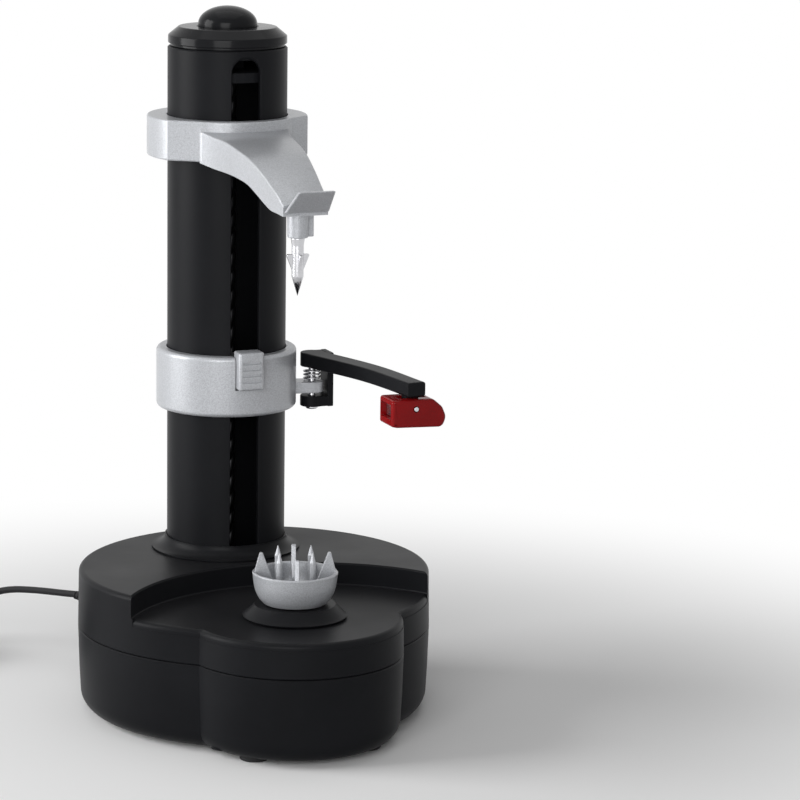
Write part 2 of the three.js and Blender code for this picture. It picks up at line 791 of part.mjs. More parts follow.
function driveTrain(root) {
  piece(root, 'gear_frame', gearFrame(), 'whitePlastic');
  piece(root, 'gear_frame_lid', gearLid(), 'whitePlastic');
  const idler = group(root, 0, idlerY);
  piece(idler, 'idler_gear', largeGear(-quarter + largePitch, axleRadius), 'whitePlastic');
  const reduction = group(root, reductionX, idlerY);
  piece(reduction, 'reduction_gear', reductionGear(), 'whitePlastic');
  const drive = group(root, motorX, idlerY);
  piece(drive, 'motor', motor(), 'steel');
  piece(drive, 'motor_pinion', motorPinion(), 'brass');
  const board = piece(root, 'circuit_board', circuitBoard(), 'board');
  board.position.set(boardWidth, idlerY, 0);
}

// Column: a tube with a slot down its front, a flared foot ring, the lead screw and its bearings
function slotCutter(bottom, top) {
  const half = slotWidth / 2;
  const outline = [
    new THREE.Vector2(half, bottom),
    ...arc(0, top - half, half, 0, Math.PI, smallSteps / 2),
    new THREE.Vector2(-half, bottom),
  ];
  return prism(outline, screwCrest + wall, 2 * columnRadius).rotateX(quarter);
}

function columnTube() {
  const inner = columnRadius - columnWall;
  return cut(turned(ringProfile(inner, columnRadius, lidTop, columnTop)), slotCutter(slotBottom, slotTop));
}

function columnFootRing() {
  const inner = columnRadius + fit;
  const ring = turned([
    [inner, highDeck], [footRingRadius, highDeck], [footRingRadius, highDeck + footRingLip],
    [inner + footRingCollar, footRingTop], [inner, footRingTop], [inner, highDeck],
  ]);
  return cut(ring, slotCutter(slotBottom, slotTop));
}

// The lead screw: a section of rounded starts that turns as it climbs
function leadScrew() {
  const bottom = lidTop + bearingFlange;
  const top = bearingBottom - fit;
  const count = 2 * screwStarts;
  const steps = Math.ceil(((top - bottom) / screwLead) * screwStepsPerTurn);
  const rings = Array.from({ length: steps + 1 }, (_, i) => {
    const height = bottom + ((top - bottom) * i) / steps;
    const turn = (2 * Math.PI * (height - bottom)) / screwLead;
    return Array.from({ length: count }, (_, k) => {
      const radius = k % 2 ? screwRoot : screwCrest;
      const angle = turn + (2 * Math.PI * k) / count;
      return new THREE.Vector3(radius * Math.cos(angle), radius * Math.sin(angle), height);
    });
  });
  const journalBottom = disc(screwJournal, bayRoof + fit, bottom + overrun, 0, 0, smallSteps);
  const journalTop = disc(
    screwJournal, top - overrun, bearingBottom + bearingHeight - overrun, 0, 0, smallSteps,
  );
  return join(loft(rings), journalBottom, journalTop);
}

function lowerBearing() {
  const inner = screwJournal + fit;
  return turned([
    [inner, lidTop], [bearingFlangeRadius, lidTop], [bearingFlangeRadius, lidTop + bearingFlange - fit],
    [inner, lidTop + bearingFlange - fit], [inner, lidTop],
  ], smallSteps);
}

function upperBearing() {
  const plate = disc(columnRadius - columnWall - fit, bearingBottom, bearingBottom + bearingHeight);
  const hole = disc(
    screwJournal + fit, bearingBottom - overrun, bearingBottom + bearingHeight - overrun + fit,
    0, 0, smallSteps,
  );
  return cut(plate, hole);
}

function cap() {
  const inner = columnRadius - columnWall - fit;
  const body = turned([
    [0, capBottom], [capRadius, capBottom], [capRadius, capRim],
    [capFlatRadius, capTop], [0, capTop],
  ]);
  const spigot = disc(inner, columnTop - capSpigot, capBottom + overrun);
  const hollow = disc(inner - columnWall, columnTop - capSpigot - overrun, capFloor - wall);
  const well = disc(domeRadius + fit, capFloor, capTop + overrun);
  const hole = disc(stemRadius + fit, capBottom - overrun, capTop, 0, 0, smallSteps);
  return cut(join(body, spigot), hollow, well, hole);
}

// The power button: a shallow dome on a stem, hollow for its spring
function powerButton() {
  const skirtBottom = capFloor + buttonTravel + runningGap;
  const shoulder = capTop + domeSkirt;
  const rise = domeTop - shoulder;
  const outline = Array.from({ length: domeSteps + 1 }, (_, i) => {
    const angle = (quarter * i) / domeSteps;
    return [domeRadius * Math.cos(angle), shoulder + rise * Math.sin(angle)];
  });
  const stemBottom = bearingBottom + bearingHeight + switchHeight + buttonTravel + fit;
  const hollowTop = shoulder + rise / 3;
  return turned([
    [0, stemBottom], [stemRadius, stemBottom], [stemRadius, hollowTop],
    [domeRadius - domeWall, hollowTop - overrun], [domeRadius - domeWall, skirtBottom],
    [domeRadius, skirtBottom], ...outline.slice(0, -1), [0, domeTop],
  ], 2 * smallSteps);
}

function buttonSpring() {
  const hollowTop = capTop + domeSkirt + (domeTop - capTop - domeSkirt) / 3;
  return spring(
    'button_spring', buttonSpringRadius, capFloor + fit, hollowTop - overrun - fit, buttonSpringCurls,
  );
}

function powerSwitch() {
  const bottom = bearingBottom + bearingHeight;
  return block(switchWidth, switchDepth, bottom, bottom + switchHeight);
}

function stopSwitch() {
  const body = block(switchDepth, switchWidth, lidTop, lidTop + 2 * switchHeight, 2 * switchDepth, 0);
  const lever = block(switchDepth / 2, 1.5 * switchWidth, lidTop + switchHeight, lidTop + 2 * switchHeight,
    2 * switchDepth, -switchDepth / 2);
  return join(body, lever);
}

function column(root) {
  const axis = group(root, 0, columnY);
  piece(axis, 'column_tube', columnTube(), 'blackPlastic');
  piece(axis, 'column_foot_ring', columnFootRing(), 'blackPlastic');
  piece(axis, 'column_cap', cap(), 'blackPlastic');
  piece(axis, 'power_button', powerButton(), 'blackPlastic');
  piece(axis, 'power_button_spring', buttonSpring(), 'steel');
  piece(axis, 'power_switch', powerSwitch(), 'darkPlastic');
  piece(axis, 'stop_switch', stopSwitch(), 'darkPlastic');
  piece(axis, 'lead_screw', leadScrew(), 'steel');
  piece(axis, 'screw_gear', largeGear(-quarter, screwJournal), 'whitePlastic');
  piece(axis, 'screw_bearing_lower', lowerBearing(), 'brass');
  piece(axis, 'screw_bearing_upper', upperBearing(), 'darkPlastic');
}

// Food holder: a spindle with its gear, a black skirt and a silver cup with fins and spikes
const holderTurn = Math.PI * holderTurnShare;

function foodCup() {
  const slope = (cupRimRadius - cupBottomRadius) / (cupRim - cupBottom);
  const floor = cupBottom + 1.5 * cupWall;
  const bowl = turned([
    [0, cupBottom], [cupBottomRadius, cupBottom], [cupBottomRadius + slope * (cupRim - cupBottom) / 2,
      (cupBottom + cupRim) / 2], [cupRimRadius, cupRim], [cupRimRadius - cupWall, cupRim],
    [cupBottomRadius + slope * (floor - cupBottom) - cupWall, floor], [0, floor],
  ]);
  const fins = Array.from({ length: finCount }, (_, i) => {
    const turn = holderTurn + (2 * Math.PI * (i + 1 / 2)) / finCount;
    const outline = [
      new THREE.Vector2(finInner, floor - cupWall), new THREE.Vector2(cupBottomRadius, floor - cupWall),
      new THREE.Vector2(cupRimRadius - cupWall / 2, cupRim - cupWall),
      new THREE.Vector2(cupRimRadius - cupWall / 2 - finLean, finTop),
      new THREE.Vector2(finInner, floor + cupWall),
    ];
    return prism(outline, -finThickness / 2, finThickness / 2).rotateX(quarter).rotateZ(turn);
  });
  const spikes = Array.from({ length: finCount }, (_, i) => {
    const angle = holderTurn + (2 * Math.PI * i) / finCount;
    return turned([
      [0, floor - cupWall], [spikeRadius, floor - cupWall], [spikeRadius, spikeTop - 3 * spikeRadius],
      [0, spikeTop],
    ], screwSteps).translate(spikeRing * Math.cos(angle), spikeRing * Math.sin(angle), 0);
  });
  return join(bowl, ...fins, ...spikes);
}

function skirt() {
  const inner = spindleRadius + fit;
  const bottom = lowDeck + runningGap;
  return turned([
    [inner, bottom], [skirtRadius, bottom], [skirtTopRadius, skirtTop], [inner, skirtTop],
    [inner, bottom],
  ]);
}

function foodHolder(root) {
  const axis = group(root, 0, holderY);
  piece(axis, 'food_cup', foodCup(), 'silverPaint');
  piece(axis, 'cup_skirt', skirt(), 'blackPlastic');
  piece(axis, 'holder_spindle', disc(spindleRadius, bayRoof + fit, skirtTop, 0, 0, smallSteps), 'steel');
  piece(axis, 'spindle_gear', largeGear(quarter, spindleRadius), 'whitePlastic');
  const bush = ringProfile(spindleRadius + fit, bushRadius, lowDeck - 2 * wall, lowDeck);
  piece(root, 'spindle_bush', turned(bush, smallSteps).translate(0, holderY, 0), 'brass');
}

// Carriage: a collar that rides the column, keyed in its slot, with an ear for the peeling arm
function key(bottom, top, bore) {
  const depth = bore - (columnRadius - slotKeyDepth) + overrun;
  return block(slotWidth - 4 * fit, depth, bottom, top, 0, -(columnRadius - slotKeyDepth + depth / 2));
}

function roundedRing(bore, radius, bottom, top, round) {
  const corner = (height, side) => Array.from({ length: roundSteps + 1 }, (_, i) => {
    const angle = (quarter * i) / roundSteps;
    const out = radius - round * (1 - (side > 0 ? Math.cos(angle) : Math.sin(angle)));
    const up = round * (1 - (side > 0 ? Math.sin(angle) : Math.cos(angle)));
    return [out, height - side * up];
  });
  return turned([[bore, bottom], ...corner(bottom, -1), ...corner(top, 1), [bore, top], [bore, bottom]]);
}

function link(x0, y0, radius0, x1, y1, radius1, bottom, top) {
  const turn = Math.atan2(y1 - y0, x1 - x0);
  const near = arc(x0, y0, radius0, turn + quarter, turn + 3 * quarter, smallSteps / 2);
  const far = arc(x1, y1, radius1, turn - quarter, turn + quarter, smallSteps / 2);
  return prism([...near, ...far], bottom, top);
}

function carriageCollar() {
  const ring = roundedRing(carriageBore, carriageRadius, carriageBottom, carriageTop, carriageRound);
  const window = block(
    latchWidth + 2 * fit, latchReach, latchBottom - runningGap, latchTop + overrun, 0, -latchReach,
  );
  const ear = link(
    (hingeX * carriageBore) / hingeRange, (-hingeLead * carriageBore) / hingeRange, hingeRadius,
    hingeX, -hingeLead, hingeRadius, earBottom, earTop,
  );
  const bore = disc(carriageBore, carriageBottom - overrun, carriageTop + overrun);
  const pinHole = disc(
    hingePinRadius + fit, earBottom - overrun, earTop + overrun, hingeX, -hingeLead, screwSteps,
  );
  const body = cut(join(ring, ear), bore, pinHole, window);
  return join(body, key(carriageBottom + overrun, latchBottom - 2 * overrun, carriageBore));
}

// The latch: a button on the collar's front with a half nut that reaches through the slot to the screw
function carriageLatch() {
  const inner = screwCrest + runningGap;
  const button = block(
    latchWidth, latchReach - carriageBore, latchBottom, latchTop, 0, -(latchReach + carriageBore) / 2,
  );
  const stem = block(
    slotWidth - 4 * fit, carriageBore, latchBottom, latchBottom + nutHeight, 0, -carriageBore / 2 - overrun,
  );
  const screw = disc(inner, latchBottom - overrun, latchTop + overrun, 0, 0, smallSteps);
  const behind = block(
    2 * slotWidth, 2 * inner, latchBottom - overrun, latchTop + overrun, 0, inner - overrun,
  );
  return cut(join(button, stem), screw, behind);
}

// Peeling arm: a fork on the hinge pin, and a flat bar that bends round the food to the blade head
function barOutline() {
  const middle = [
    new THREE.Vector2(hingeX, -hingeLead),
    new THREE.Vector2(armElbowX, -armElbowLead),
    new THREE.Vector2(armTipX, -armTipLead),
  ];
  const curve = new THREE.SplineCurve(middle);
  const side = (sign) => Array.from({ length: barSteps + 1 }, (_, i) => {
    const point = curve.getPoint(i / barSteps);
    const tangent = curve.getTangent(i / barSteps);
    const half = (armWidth / 2) * (1 + (1 - i / barSteps) / 4);
    return new THREE.Vector2(point.x - sign * half * tangent.y, point.y + sign * half * tangent.x);
  });
  return [...side(1), ...side(-1).reverse()];
}

function peelArm() {
  const bar = prism(barOutline(), armBottom, armTop);
  const upperLug = disc(hingeRadius, armBottom - overrun, armTop, hingeX, -hingeLead, smallSteps);
  const lowerLug = disc(hingeRadius, lugBottom, lugTop, hingeX, -hingeLead, smallSteps);
  const webX = hingeX + hingeRadius + runningGap + webThickness / 2;
  const web = block(webThickness, 2 * hingeRadius, lugBottom, armTop, webX, -hingeLead);
  const bridges = [[lugBottom, lugTop], [armBottom - overrun, armTop]].map(([bottom, top]) => (
    block(webX - hingeX, 2 * hingeRadius, bottom, top, (webX + hingeX) / 2, -hingeLead)
  ));
  const pinHole = disc(
    hingePinRadius + fit, lugBottom - overrun, armTop - overrun, hingeX, -hingeLead, screwSteps,
  );
  const lug = block(lugWidth, headDepth / 3, armBottom - lugDrop, armBottom + overrun, armTipX, -headLead);
  const tiltHole = disc(bladePinRadius + fit, -headDepth, headDepth, 0, 0, screwSteps)
    .rotateX(quarter).translate(armTipX, -headLead, tiltHeight);
  return cut(join(bar, upperLug, lowerLug, web, ...bridges, lug), pinHole, tiltHole);
}

function hingePin() {
  return turned([
    [0, lugBottom - hingePinHead / 2], [hingePinHead, lugBottom - hingePinHead / 2],
    [hingePinHead, lugBottom - fit], [hingePinRadius, lugBottom - fit],
    [hingePinRadius, armTop - overrun - fit], [0, armTop - overrun - fit],
  ], screwSteps).translate(hingeX, -hingeLead, 0);
}

// The blade head: a rounded wedge, hollow above for the arm's lug and open below for the blade
function bladeHead() {
  const x = armTipX + headOutward;
  const bottom = headTop - headHeight;
  const half = headWidth / 2;
  const outline = headOutlineShares.map(([across, up]) => (
    new THREE.Vector2(x + half * across, bottom + headHeight * up)
  ));
  const body = prism(outline, -headDepth / 2, headDepth / 2).rotateX(quarter).translate(0, -headLead, 0);
  const pocketWidth = lugWidth + 3 * headWall;
  const pocket = block(
    pocketWidth, headDepth / 3 + 2 * runningGap, headTop - lugDrop - headWall, headTop + overrun,
    armTipX, -headLead,
  );
  const pinHole = disc(bladePinRadius + fit, -headDepth, headDepth, 0, 0, screwSteps)
    .rotateX(quarter).translate(armTipX, -headLead, tiltHeight);
  const bladeSlot = block(
    2 * bladeReach, headDepth - 2 * headWall, bottom + 2 * headWall, headTop - headWall,
    x - half, -headLead,
  );
  return cut(body, pocket, pinHole, bladeSlot);
}

function bladePin() {
  const half = headDepth / 2 + fit;
  return disc(bladePinRadius, -half, half, 0, 0, screwSteps)
    .rotateX(quarter).translate(armTipX, -headLead, tiltHeight);
}

function blade() {
  const x = armTipX + headOutward - headWidth / 2;
  const bottom = headTop - headHeight + 2 * headWall + fit;
  return block(
    bladeThickness, headDepth - 2 * headWall - 2 * fit, bottom, headTop - headWall - fit,
    x + bladeReach - fit - bladeThickness / 2, -headLead,
  );
}

function carriage(root) {
  const axis = group(root, 0, columnY);
  piece(axis, 'carriage_collar', carriageCollar(), 'silverPaint');
  piece(axis, 'carriage_latch', carriageLatch(), 'silverPaint');
  piece(axis, 'peel_arm', peelArm(), 'blackPlastic');
  piece(axis, 'arm_hinge_pin', hingePin(), 'steel');
  const coil = spring(
    'arm_spring', hingeSpringRadius, earTop + fit, armBottom - overrun - fit, hingeSpringCurls,
  );
  piece(axis, 'arm_spring', coil.translate(hingeX, -hingeLead, 0), 'steel');
  piece(axis, 'blade_head', bladeHead(), 'redPlastic');
  piece(axis, 'blade_pin', bladePin(), 'steel');
  piece(axis, 'blade', blade(), 'steel');
}

// Upper arm: a clamp ring, an arched arm hollow underneath, a thumb lip and a boss for the spike
const archStationShares = [
  // lead as a share of the axis distance, half width, fall of the top, fall of the underside
  [0.25, 0.9, 0.14, 0.6], [0.36, 0.78, 0.185, 0.64], [0.48, 0.7, 0.215, 0.655], [0.6, 0.663, 0.27, 0.67],
  [0.72, 0.605, 0.345, 0.72], [0.82, 0.558, 0.445, 0.825], [0.9, 0.523, 0.54, 0.92], [0.97, 0.495, 0.64, 0.985],
  [1.04, 0.47, 0.74, 1], [1.1, 0.44, 0.87, 1.02],
];

function archRing([leadShare, widthShare, topShare, bottomShare], inset) {
  const y = -leadShare * axisDistance;
  const half = widthShare * archHalfWidth - inset;
  const top = upperTop - topShare * archDrop - inset;
  const bottom = inset ? upperBottom - 2 * archDrop : upperTop - bottomShare * archDrop;
  const edge = Math.min(archEdge, half / 2, (top - bottom) / 3);
  return [
    [-half, bottom], [-half, top - edge], [edge - half, top], [0, top + edge / 3],
    [half - edge, top], [half, top - edge], [half, bottom],
  ].map(([x, z]) => new THREE.Vector3(x, y, z));
}

function clampRing() {
  const shoulder = Math.PI * shoulderAngleShare;
  const neck = Math.PI * neckAngleShare;
  const outline = [
    ...arc(0, 0, upperRingRadius, shoulder - quarter, 3 * quarter - shoulder, circleSteps),
    ...arc(0, 0, upperNeckRadius, 3 * quarter - neck, 3 * quarter + neck, smallSteps / 2),
  ];
  return prism(outline, upperBottom, upperTop);
}

function thumbLip() {
  const ring = (half, lead, height) => [[-half, -lead], [-half, -lead - lipThickness],
    [half, -lead - lipThickness], [half, -lead]].map(([x, y]) => new THREE.Vector3(x, y, height));
  return loft([ring(lipHalfWidth, lipBottomLead - lipThickness, lipBottom),
    ring(lipTopHalfWidth, lipTopLead - lipThickness, lipTop)]);
}

function upperArm() {
  const flatten = (p) => new THREE.Vector2(p.x, p.z);
  const arch = loft(archStationShares.map((share) => archRing(share, 0)), flatten);
  const hollow = loft(archStationShares.slice(1, 7).map((share) => archRing(share, archWall)), flatten);
  const boss = disc(bossOuter, bossBottom, lipBottom + overrun, 0, -axisDistance, smallSteps);
  const rib = block(
    bossRibReach, bossRibWidth, bossBottom, lipBottom + overrun, bossRibReach / 2, -axisDistance,
  );
  const bore = disc(upperBore, bossBottom, upperTop + overrun);
  const spikeBore = disc(
    topSpikeShaft + fit, bossBottom - overrun, lipBottom - fit, 0, -axisDistance, screwSteps,
  );
  const pocketTop = releaseMiddle + releaseHeight / 2 + fit;
  const pocketBottom = releaseMiddle - releaseHeight / 2 - fit;
  const pocket = block(releaseWidth + 2 * fit, upperRingRadius, pocketBottom, pocketTop, 0,
    upperBore + releaseWeb + upperRingRadius / 2);
  const stemHole = disc(releaseStem + fit, 0, upperRingRadius, 0, 0, smallSteps)
    .rotateX(-quarter).translate(0, 0, releaseMiddle);
  const body = join(cut(join(clampRing(), arch), hollow), thumbLip(), boss, rib);
  return join(cut(body, bore, spikeBore, pocket, stemHole), key(upperBottom, upperTop - overrun, upperBore));
}

// The release button in the ring's back, with its stem and its hollow for the spring
function releaseButton() {
  const back = upperBore + releaseWeb + releaseTravel + fit;
  const body = block(
    releaseWidth, releaseReach - back, -releaseHeight / 2, releaseHeight / 2, 0, (releaseReach + back) / 2,
  );
  const stem = disc(releaseStem, upperBore + releaseTravel + fit, releaseReach - overrun, 0, 0, smallSteps)
    .rotateX(-quarter);
  const hollow = disc(
    releaseSpringRadius + springWire, back - overrun, releaseReach - wall / 2, 0, 0, smallSteps,
  ).rotateX(-quarter);
  return join(cut(body, hollow), stem).translate(0, 0, releaseMiddle);
}

// The release spring, as short as the pressed button leaves it
function releaseSpring() {
  const near = upperBore + releaseWeb + fit;
  const far = releaseReach - wall / 2 - fit - releaseTravel;
  return spring('arm_release_spring', releaseSpringRadius, near, far, releaseSpringCurls)
    .rotateX(-quarter).translate(0, 0, releaseMiddle);
}

function topSpike() {
  const coneTop = bossBottom - fit;
  const body = turned([
    [0, topSpikeTip], [topSpikeNeck, topSpikeShoulder], [topSpikeNeck, coneTop - topSpikeConeHeight],
    [topSpikeCone, coneTop], [topSpikeShaft, coneTop], [topSpikeShaft, lipBottom - 2 * fit],
    [0, lipBottom - 2 * fit],
  ], smallSteps);
  const fins = [0, 1].map((i) => {
    const outline = [
      new THREE.Vector2(-topFinReach, topSpikeShoulder + topFinHeight),
      new THREE.Vector2(0, topSpikeShoulder - topFinHeight / 3),
      new THREE.Vector2(topFinReach, topSpikeShoulder + topFinHeight),
    ];
    return prism(outline, -topFinThickness / 2, topFinThickness / 2).rotateX(quarter)
      .rotateZ(i * quarter);
  });
  return join(body, ...fins);
}

function upperGroup(root) {
  const axis = group(root, 0, columnY);
  piece(axis, 'upper_arm', upperArm(), 'silverPaint');
  piece(axis, 'arm_release', releaseButton(), 'blackPlastic');
  piece(axis, 'arm_release_spring', releaseSpring(), 'steel');
  const holder = group(root, 0, holderY);
  piece(holder, 'top_spike', topSpike(), 'steel');
}

// Power lead: jack in the bottom shell, barrel plug, cord, wound coil, plug in adapter
const plugStart = baseRadius + fit;
const gripEnd = plugStart + gripLength;
const reliefEnd = gripEnd + reliefLength;

function powerJack() {
  const outer = baseRadius - wall - bottomDraft - fit;
  const inner = outer - jackDepth;
  const body = block(jackDepth, jackBody, -jackBody / 2, jackBody / 2, (inner + outer) / 2, 0);
  const nose = disc(jackNose, inner, baseRadius - fit, 0, 0, smallSteps).rotateY(quarter);
  const bore = disc(barrelRadius + fit, inner + fit, baseRadius + overrun, 0, 0, smallSteps).rotateY(quarter);
  return cut(join(body, nose), bore);
}

function barrelPlug() {
  const grip = turned([
    [0, plugStart], [gripRadius, plugStart], [gripRadius, gripEnd - gripRadius],
    [reliefRadius + fit, gripEnd], [0, gripEnd],
  ], smallSteps);
  const barrel = disc(barrelRadius, plugStart - barrelLength, plugStart + overrun, 0, 0, smallSteps);
  return join(grip, barrel).rotateY(quarter);
}

function strainRelief() {
  const rings = reliefRibs * 2;
  const profile = Array.from({ length: rings + 1 }, (_, i) => {
    const share = i / rings;
    const radius = reliefRadius + (cordRadius + fit - reliefRadius) * share;
    return [radius - (i % 2 ? fit : 0), gripEnd + fit + (reliefLength - fit) * share];
  });
  return turned([[0, gripEnd + fit], ...profile, [0, reliefEnd]], smallSteps).rotateY(quarter);
}

// Where the cord leaves the relief, and the free stretch from there to the coil
function outward(distance, height) {
  return new THREE.Vector3(
    distance * Math.cos(jackTurn), bodyY + distance * Math.sin(jackTurn), height,
  );
}

const coilPerLayer = coilLoops / coilLayers;
const coilOuter = coilMeanRadius + (coilPitch * coilPerLayer) / 2;
const cordDiameter = 2 * cordRadius;
const leadPoints = [
  outward(reliefEnd + fit, jackHeight), outward(reliefEnd + cordDiameter, jackHeight),
  new THREE.Vector3(-72, 135, 26.5), new THREE.Vector3(-87, 149.5, 17.5), new THREE.Vector3(-98.5, 156, 8),
  new THREE.Vector3(-109, 156.9, 2.5), new THREE.Vector3(coilX + cordDiameter + fit, coilY + coilOuter, 1.5),
];
const nubEnd = adapterX + adapterLength / 2 + adapterNub;
const tailPoints = [
  new THREE.Vector3(coilX - cordDiameter - fit, coilY + coilOuter, 12.3),
  new THREE.Vector3(-128.5, 155.2, 12.4), new THREE.Vector3(-134, 153, 12.8),
  new THREE.Vector3(-138, 152.2, 13), new THREE.Vector3(nubEnd + fit, adapterY, adapterHeight / 2),
];

// A free stretch of cord through its points, with a step every few diameters
function cordStretch(points) {
  const curve = new THREE.CatmullRomCurve3(points);
  const outline = arc(0, 0, cordRadius, 0, 2 * Math.PI, cordSides).slice(0, -1);
  return new THREE.ExtrudeGeometry(new THREE.Shape(outline), {
    steps: Math.ceil(curve.getLength() / cordStep),
    extrudePath: curve,
    bevelEnabled: false,
  });
}

// The coil winds in and out in layers, and climbs a layer in the half turn where it reverses
function coilPoints() {
  const points = [];
  for (let i = 0; i <= coilLoops * coilSteps; i++) {
    const turns = i / coilSteps;
    const layer = Math.min(Math.floor(turns / coilPerLayer), coilLayers - 1);
    const along = turns / coilPerLayer - layer;
    const inward = layer % 2 === 0 ? along : 1 - along;
    const radius = coilOuter - inward * coilPitch * coilPerLayer;
    const toNext = Math.max(0, turns - (layer + 1) * coilPerLayer + 1 / 4);
    const fromLast = Math.max(0, layer * coilPerLayer + 1 / 4 - turns);
    const climb = (layer < coilLayers - 1 ? toNext * 2 : 0) - (layer > 0 ? fromLast * 2 : 0);
    const height = cordRadius + coilPitch * (layer + climb);
    const angle = quarter + 2 * Math.PI * turns;
    points.push(new THREE.Vector3(
      coilX + radius * Math.cos(angle), coilY + radius * Math.sin(angle), height,
    ));
  }
  const straight = new THREE.Vector3(cordDiameter, 0, 0);
  return [points[0].clone().add(straight), ...points, points.at(-1).clone().sub(straight)];
}

// The plug in adapter lies on its side; its cord leaves through a short nub
function adapterBody() {
  const [halfLength, halfWidth] = [adapterLength / 2 - adapterRound, adapterWidth / 2 - adapterRound];
  const corners = [[1, -1], [1, 1], [-1, 1], [-1, -1]];
  const outline = corners.flatMap(([x, y], i) => (
    arc(x * halfLength, y * halfWidth, adapterRound, (i - 1) * quarter, i * quarter, roundSteps)
  ));
  const nub = disc(reliefRadius, 0, adapterLength / 2 + adapterNub, 0, 0, smallSteps)
    .rotateY(quarter).translate(0, 0, adapterHeight / 2);
  return join(prism(outline, 0, adapterHeight), nub, prong(-1), prong(1));
}

function prong(side) {
  return block(
    prongLength + overrun, prongThickness, (adapterHeight - prongWidth) / 2, (adapterHeight + prongWidth) / 2,
    -(adapterLength + prongLength - overrun) / 2, (side * prongSpacing) / 2,
  );
}

function powerLead(root) {
  const jack = group(root, 0, bodyY, jackHeight, jackTurn);
  piece(jack, 'power_jack', powerJack(), 'darkPlastic');
  piece(jack, 'barrel_plug', barrelPlug(), 'blackPlastic');
  piece(jack, 'plug_strain_relief', strainRelief(), 'blackPlastic');
  const wound = coilPoints();
  printLeastGap('cord_coil', wound, cordRadius, coilSteps / 2);
  piece(root, 'cord_coil', tube(wound, cordRadius, coilSides), 'rubber');
  piece(root, 'power_cord', cordStretch(leadPoints), 'rubber');
  piece(root, 'adapter_cord', cordStretch(tailPoints), 'rubber');
  piece(group(root, adapterX, adapterY), 'wall_adapter', adapterBody(), 'blackPlastic');
}

const peeler = new THREE.Group();
piece(peeler, 'base_bottom', bottomShell(), 'blackPlastic');
piece(peeler, 'base_housing', housing(), 'blackPlastic');
feetPlaces.forEach(([x, y], i) => piece(peeler, 'foot_' + (i + 1), foot(x, y), 'rubber'));
screwPlaces.forEach(([x, y], i) => piece(peeler, 'housing_screw_' + (i + 1), housingScrew(x, y), 'steel'));
batteryBay(peeler);
driveTrain(peeler);
column(peeler);
foodHolder(peeler);
carriage(peeler);
upperGroup(peeler);
powerLead(peeler);

export default peeler;
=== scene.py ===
"""An electric peeler: finished surfaces, materials, light and camera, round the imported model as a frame.

Shapes are worked out in millimetres and put into meshes in metres, in the frame's axes: +Z up, front to -Y.
"""

import math

import bmesh
import bpy
import numpy as np
from bpy.props import FloatProperty, FloatVectorProperty, PointerProperty
from mathutils import Matrix, Vector


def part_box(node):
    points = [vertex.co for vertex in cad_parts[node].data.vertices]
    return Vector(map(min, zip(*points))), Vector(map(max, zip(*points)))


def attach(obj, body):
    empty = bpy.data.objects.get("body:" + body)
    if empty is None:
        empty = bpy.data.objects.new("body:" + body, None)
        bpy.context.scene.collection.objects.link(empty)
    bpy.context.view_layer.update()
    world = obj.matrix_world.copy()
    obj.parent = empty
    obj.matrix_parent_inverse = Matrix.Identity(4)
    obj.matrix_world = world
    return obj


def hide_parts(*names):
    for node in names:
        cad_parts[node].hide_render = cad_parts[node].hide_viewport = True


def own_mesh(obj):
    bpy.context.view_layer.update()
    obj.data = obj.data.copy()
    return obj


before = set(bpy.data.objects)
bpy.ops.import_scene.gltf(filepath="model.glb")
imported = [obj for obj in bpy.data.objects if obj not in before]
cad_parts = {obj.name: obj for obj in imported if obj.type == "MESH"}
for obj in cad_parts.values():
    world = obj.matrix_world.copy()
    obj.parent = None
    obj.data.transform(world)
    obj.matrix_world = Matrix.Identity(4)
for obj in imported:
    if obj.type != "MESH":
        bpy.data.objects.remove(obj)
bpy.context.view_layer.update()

bl_info = {
    "name": "Electric peeler",
    "version": (1, 0, 0),
    "blender": (4, 5, 0),
    "location": "3D View > Sidebar > Peeler",
    "description": "Builds the finished surfaces of a countertop peeler around its packed model",
    "category": "Add Mesh",
}

MM = 0.001
TAU = 2 * math.pi
QUARTER = math.pi / 2


def low(node):
    """Lowest corner of a node of the frame, in millimetres."""
    return np.array(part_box(node)[0]) / MM


def high(node):
    """Highest corner of a node of the frame, in millimetres."""
    return np.array(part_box(node)[1]) / MM


def centre(node):
    """Middle of a node's box, in millimetres."""
    return (low(node) + high(node)) / 2


# Fits, as in the frame
FIT = 0.3
RUNNING_GAP = 0.5
OVERRUN = 1.0

# Base
WALL = 2.4
BASE_RADIUS = 73.5
FOOT_TOP = high("foot_1")[2]
FLOOR_TOP = FOOT_TOP + WALL
SEAM = low("base_housing")[2]
LOW_DECK = high("spindle_bush")[2]
HIGH_DECK = high("base_housing")[2]
BODY_Y = high("base_housing")[1] - BASE_RADIUS
HOLDER_Y = centre("holder_spindle")[1]
LOBE_RADIUS = HOLDER_Y - low("base_housing")[1]
LOBE_REACH = BODY_Y - HOLDER_Y
BOTTOM_ROUND = 8
BOTTOM_DRAFT = 1
DECK_DRAFT = 0.4
STEP_RADIUS = 76.5
STEP_Y = HOLDER_Y - 25
POST_RADIUS = 5.5
POST_RADIUS_ABOVE = 4.5
WELL_RADIUS = 3.5
SPINDLE_HOLE = 6.8
SCREWS = [f"housing_screw_{i}" for i in range(1, 5)]
SCREW_PLACES = [centre(screw)[:2] for screw in SCREWS]
SCREW_HEAD = 2.4
SCREW_SEAT = low(SCREWS[0])[2] + SCREW_HEAD
SCREW_TIP = high(SCREWS[0])[2]
SCREW_HOLE = 1.8
FEET = [f"foot_{i}" for i in range(1, 5)]
BAY_LOW = low("battery_holder")
BAY_HIGH = high("battery_holder")
BAY_WALL = 1.5
JACK_TURN = TAU / 3
JACK_HOLE = 3.9
JACK_HOLE_DEPTH = 12
JACK_HEIGHT = centre("power_jack")[2]

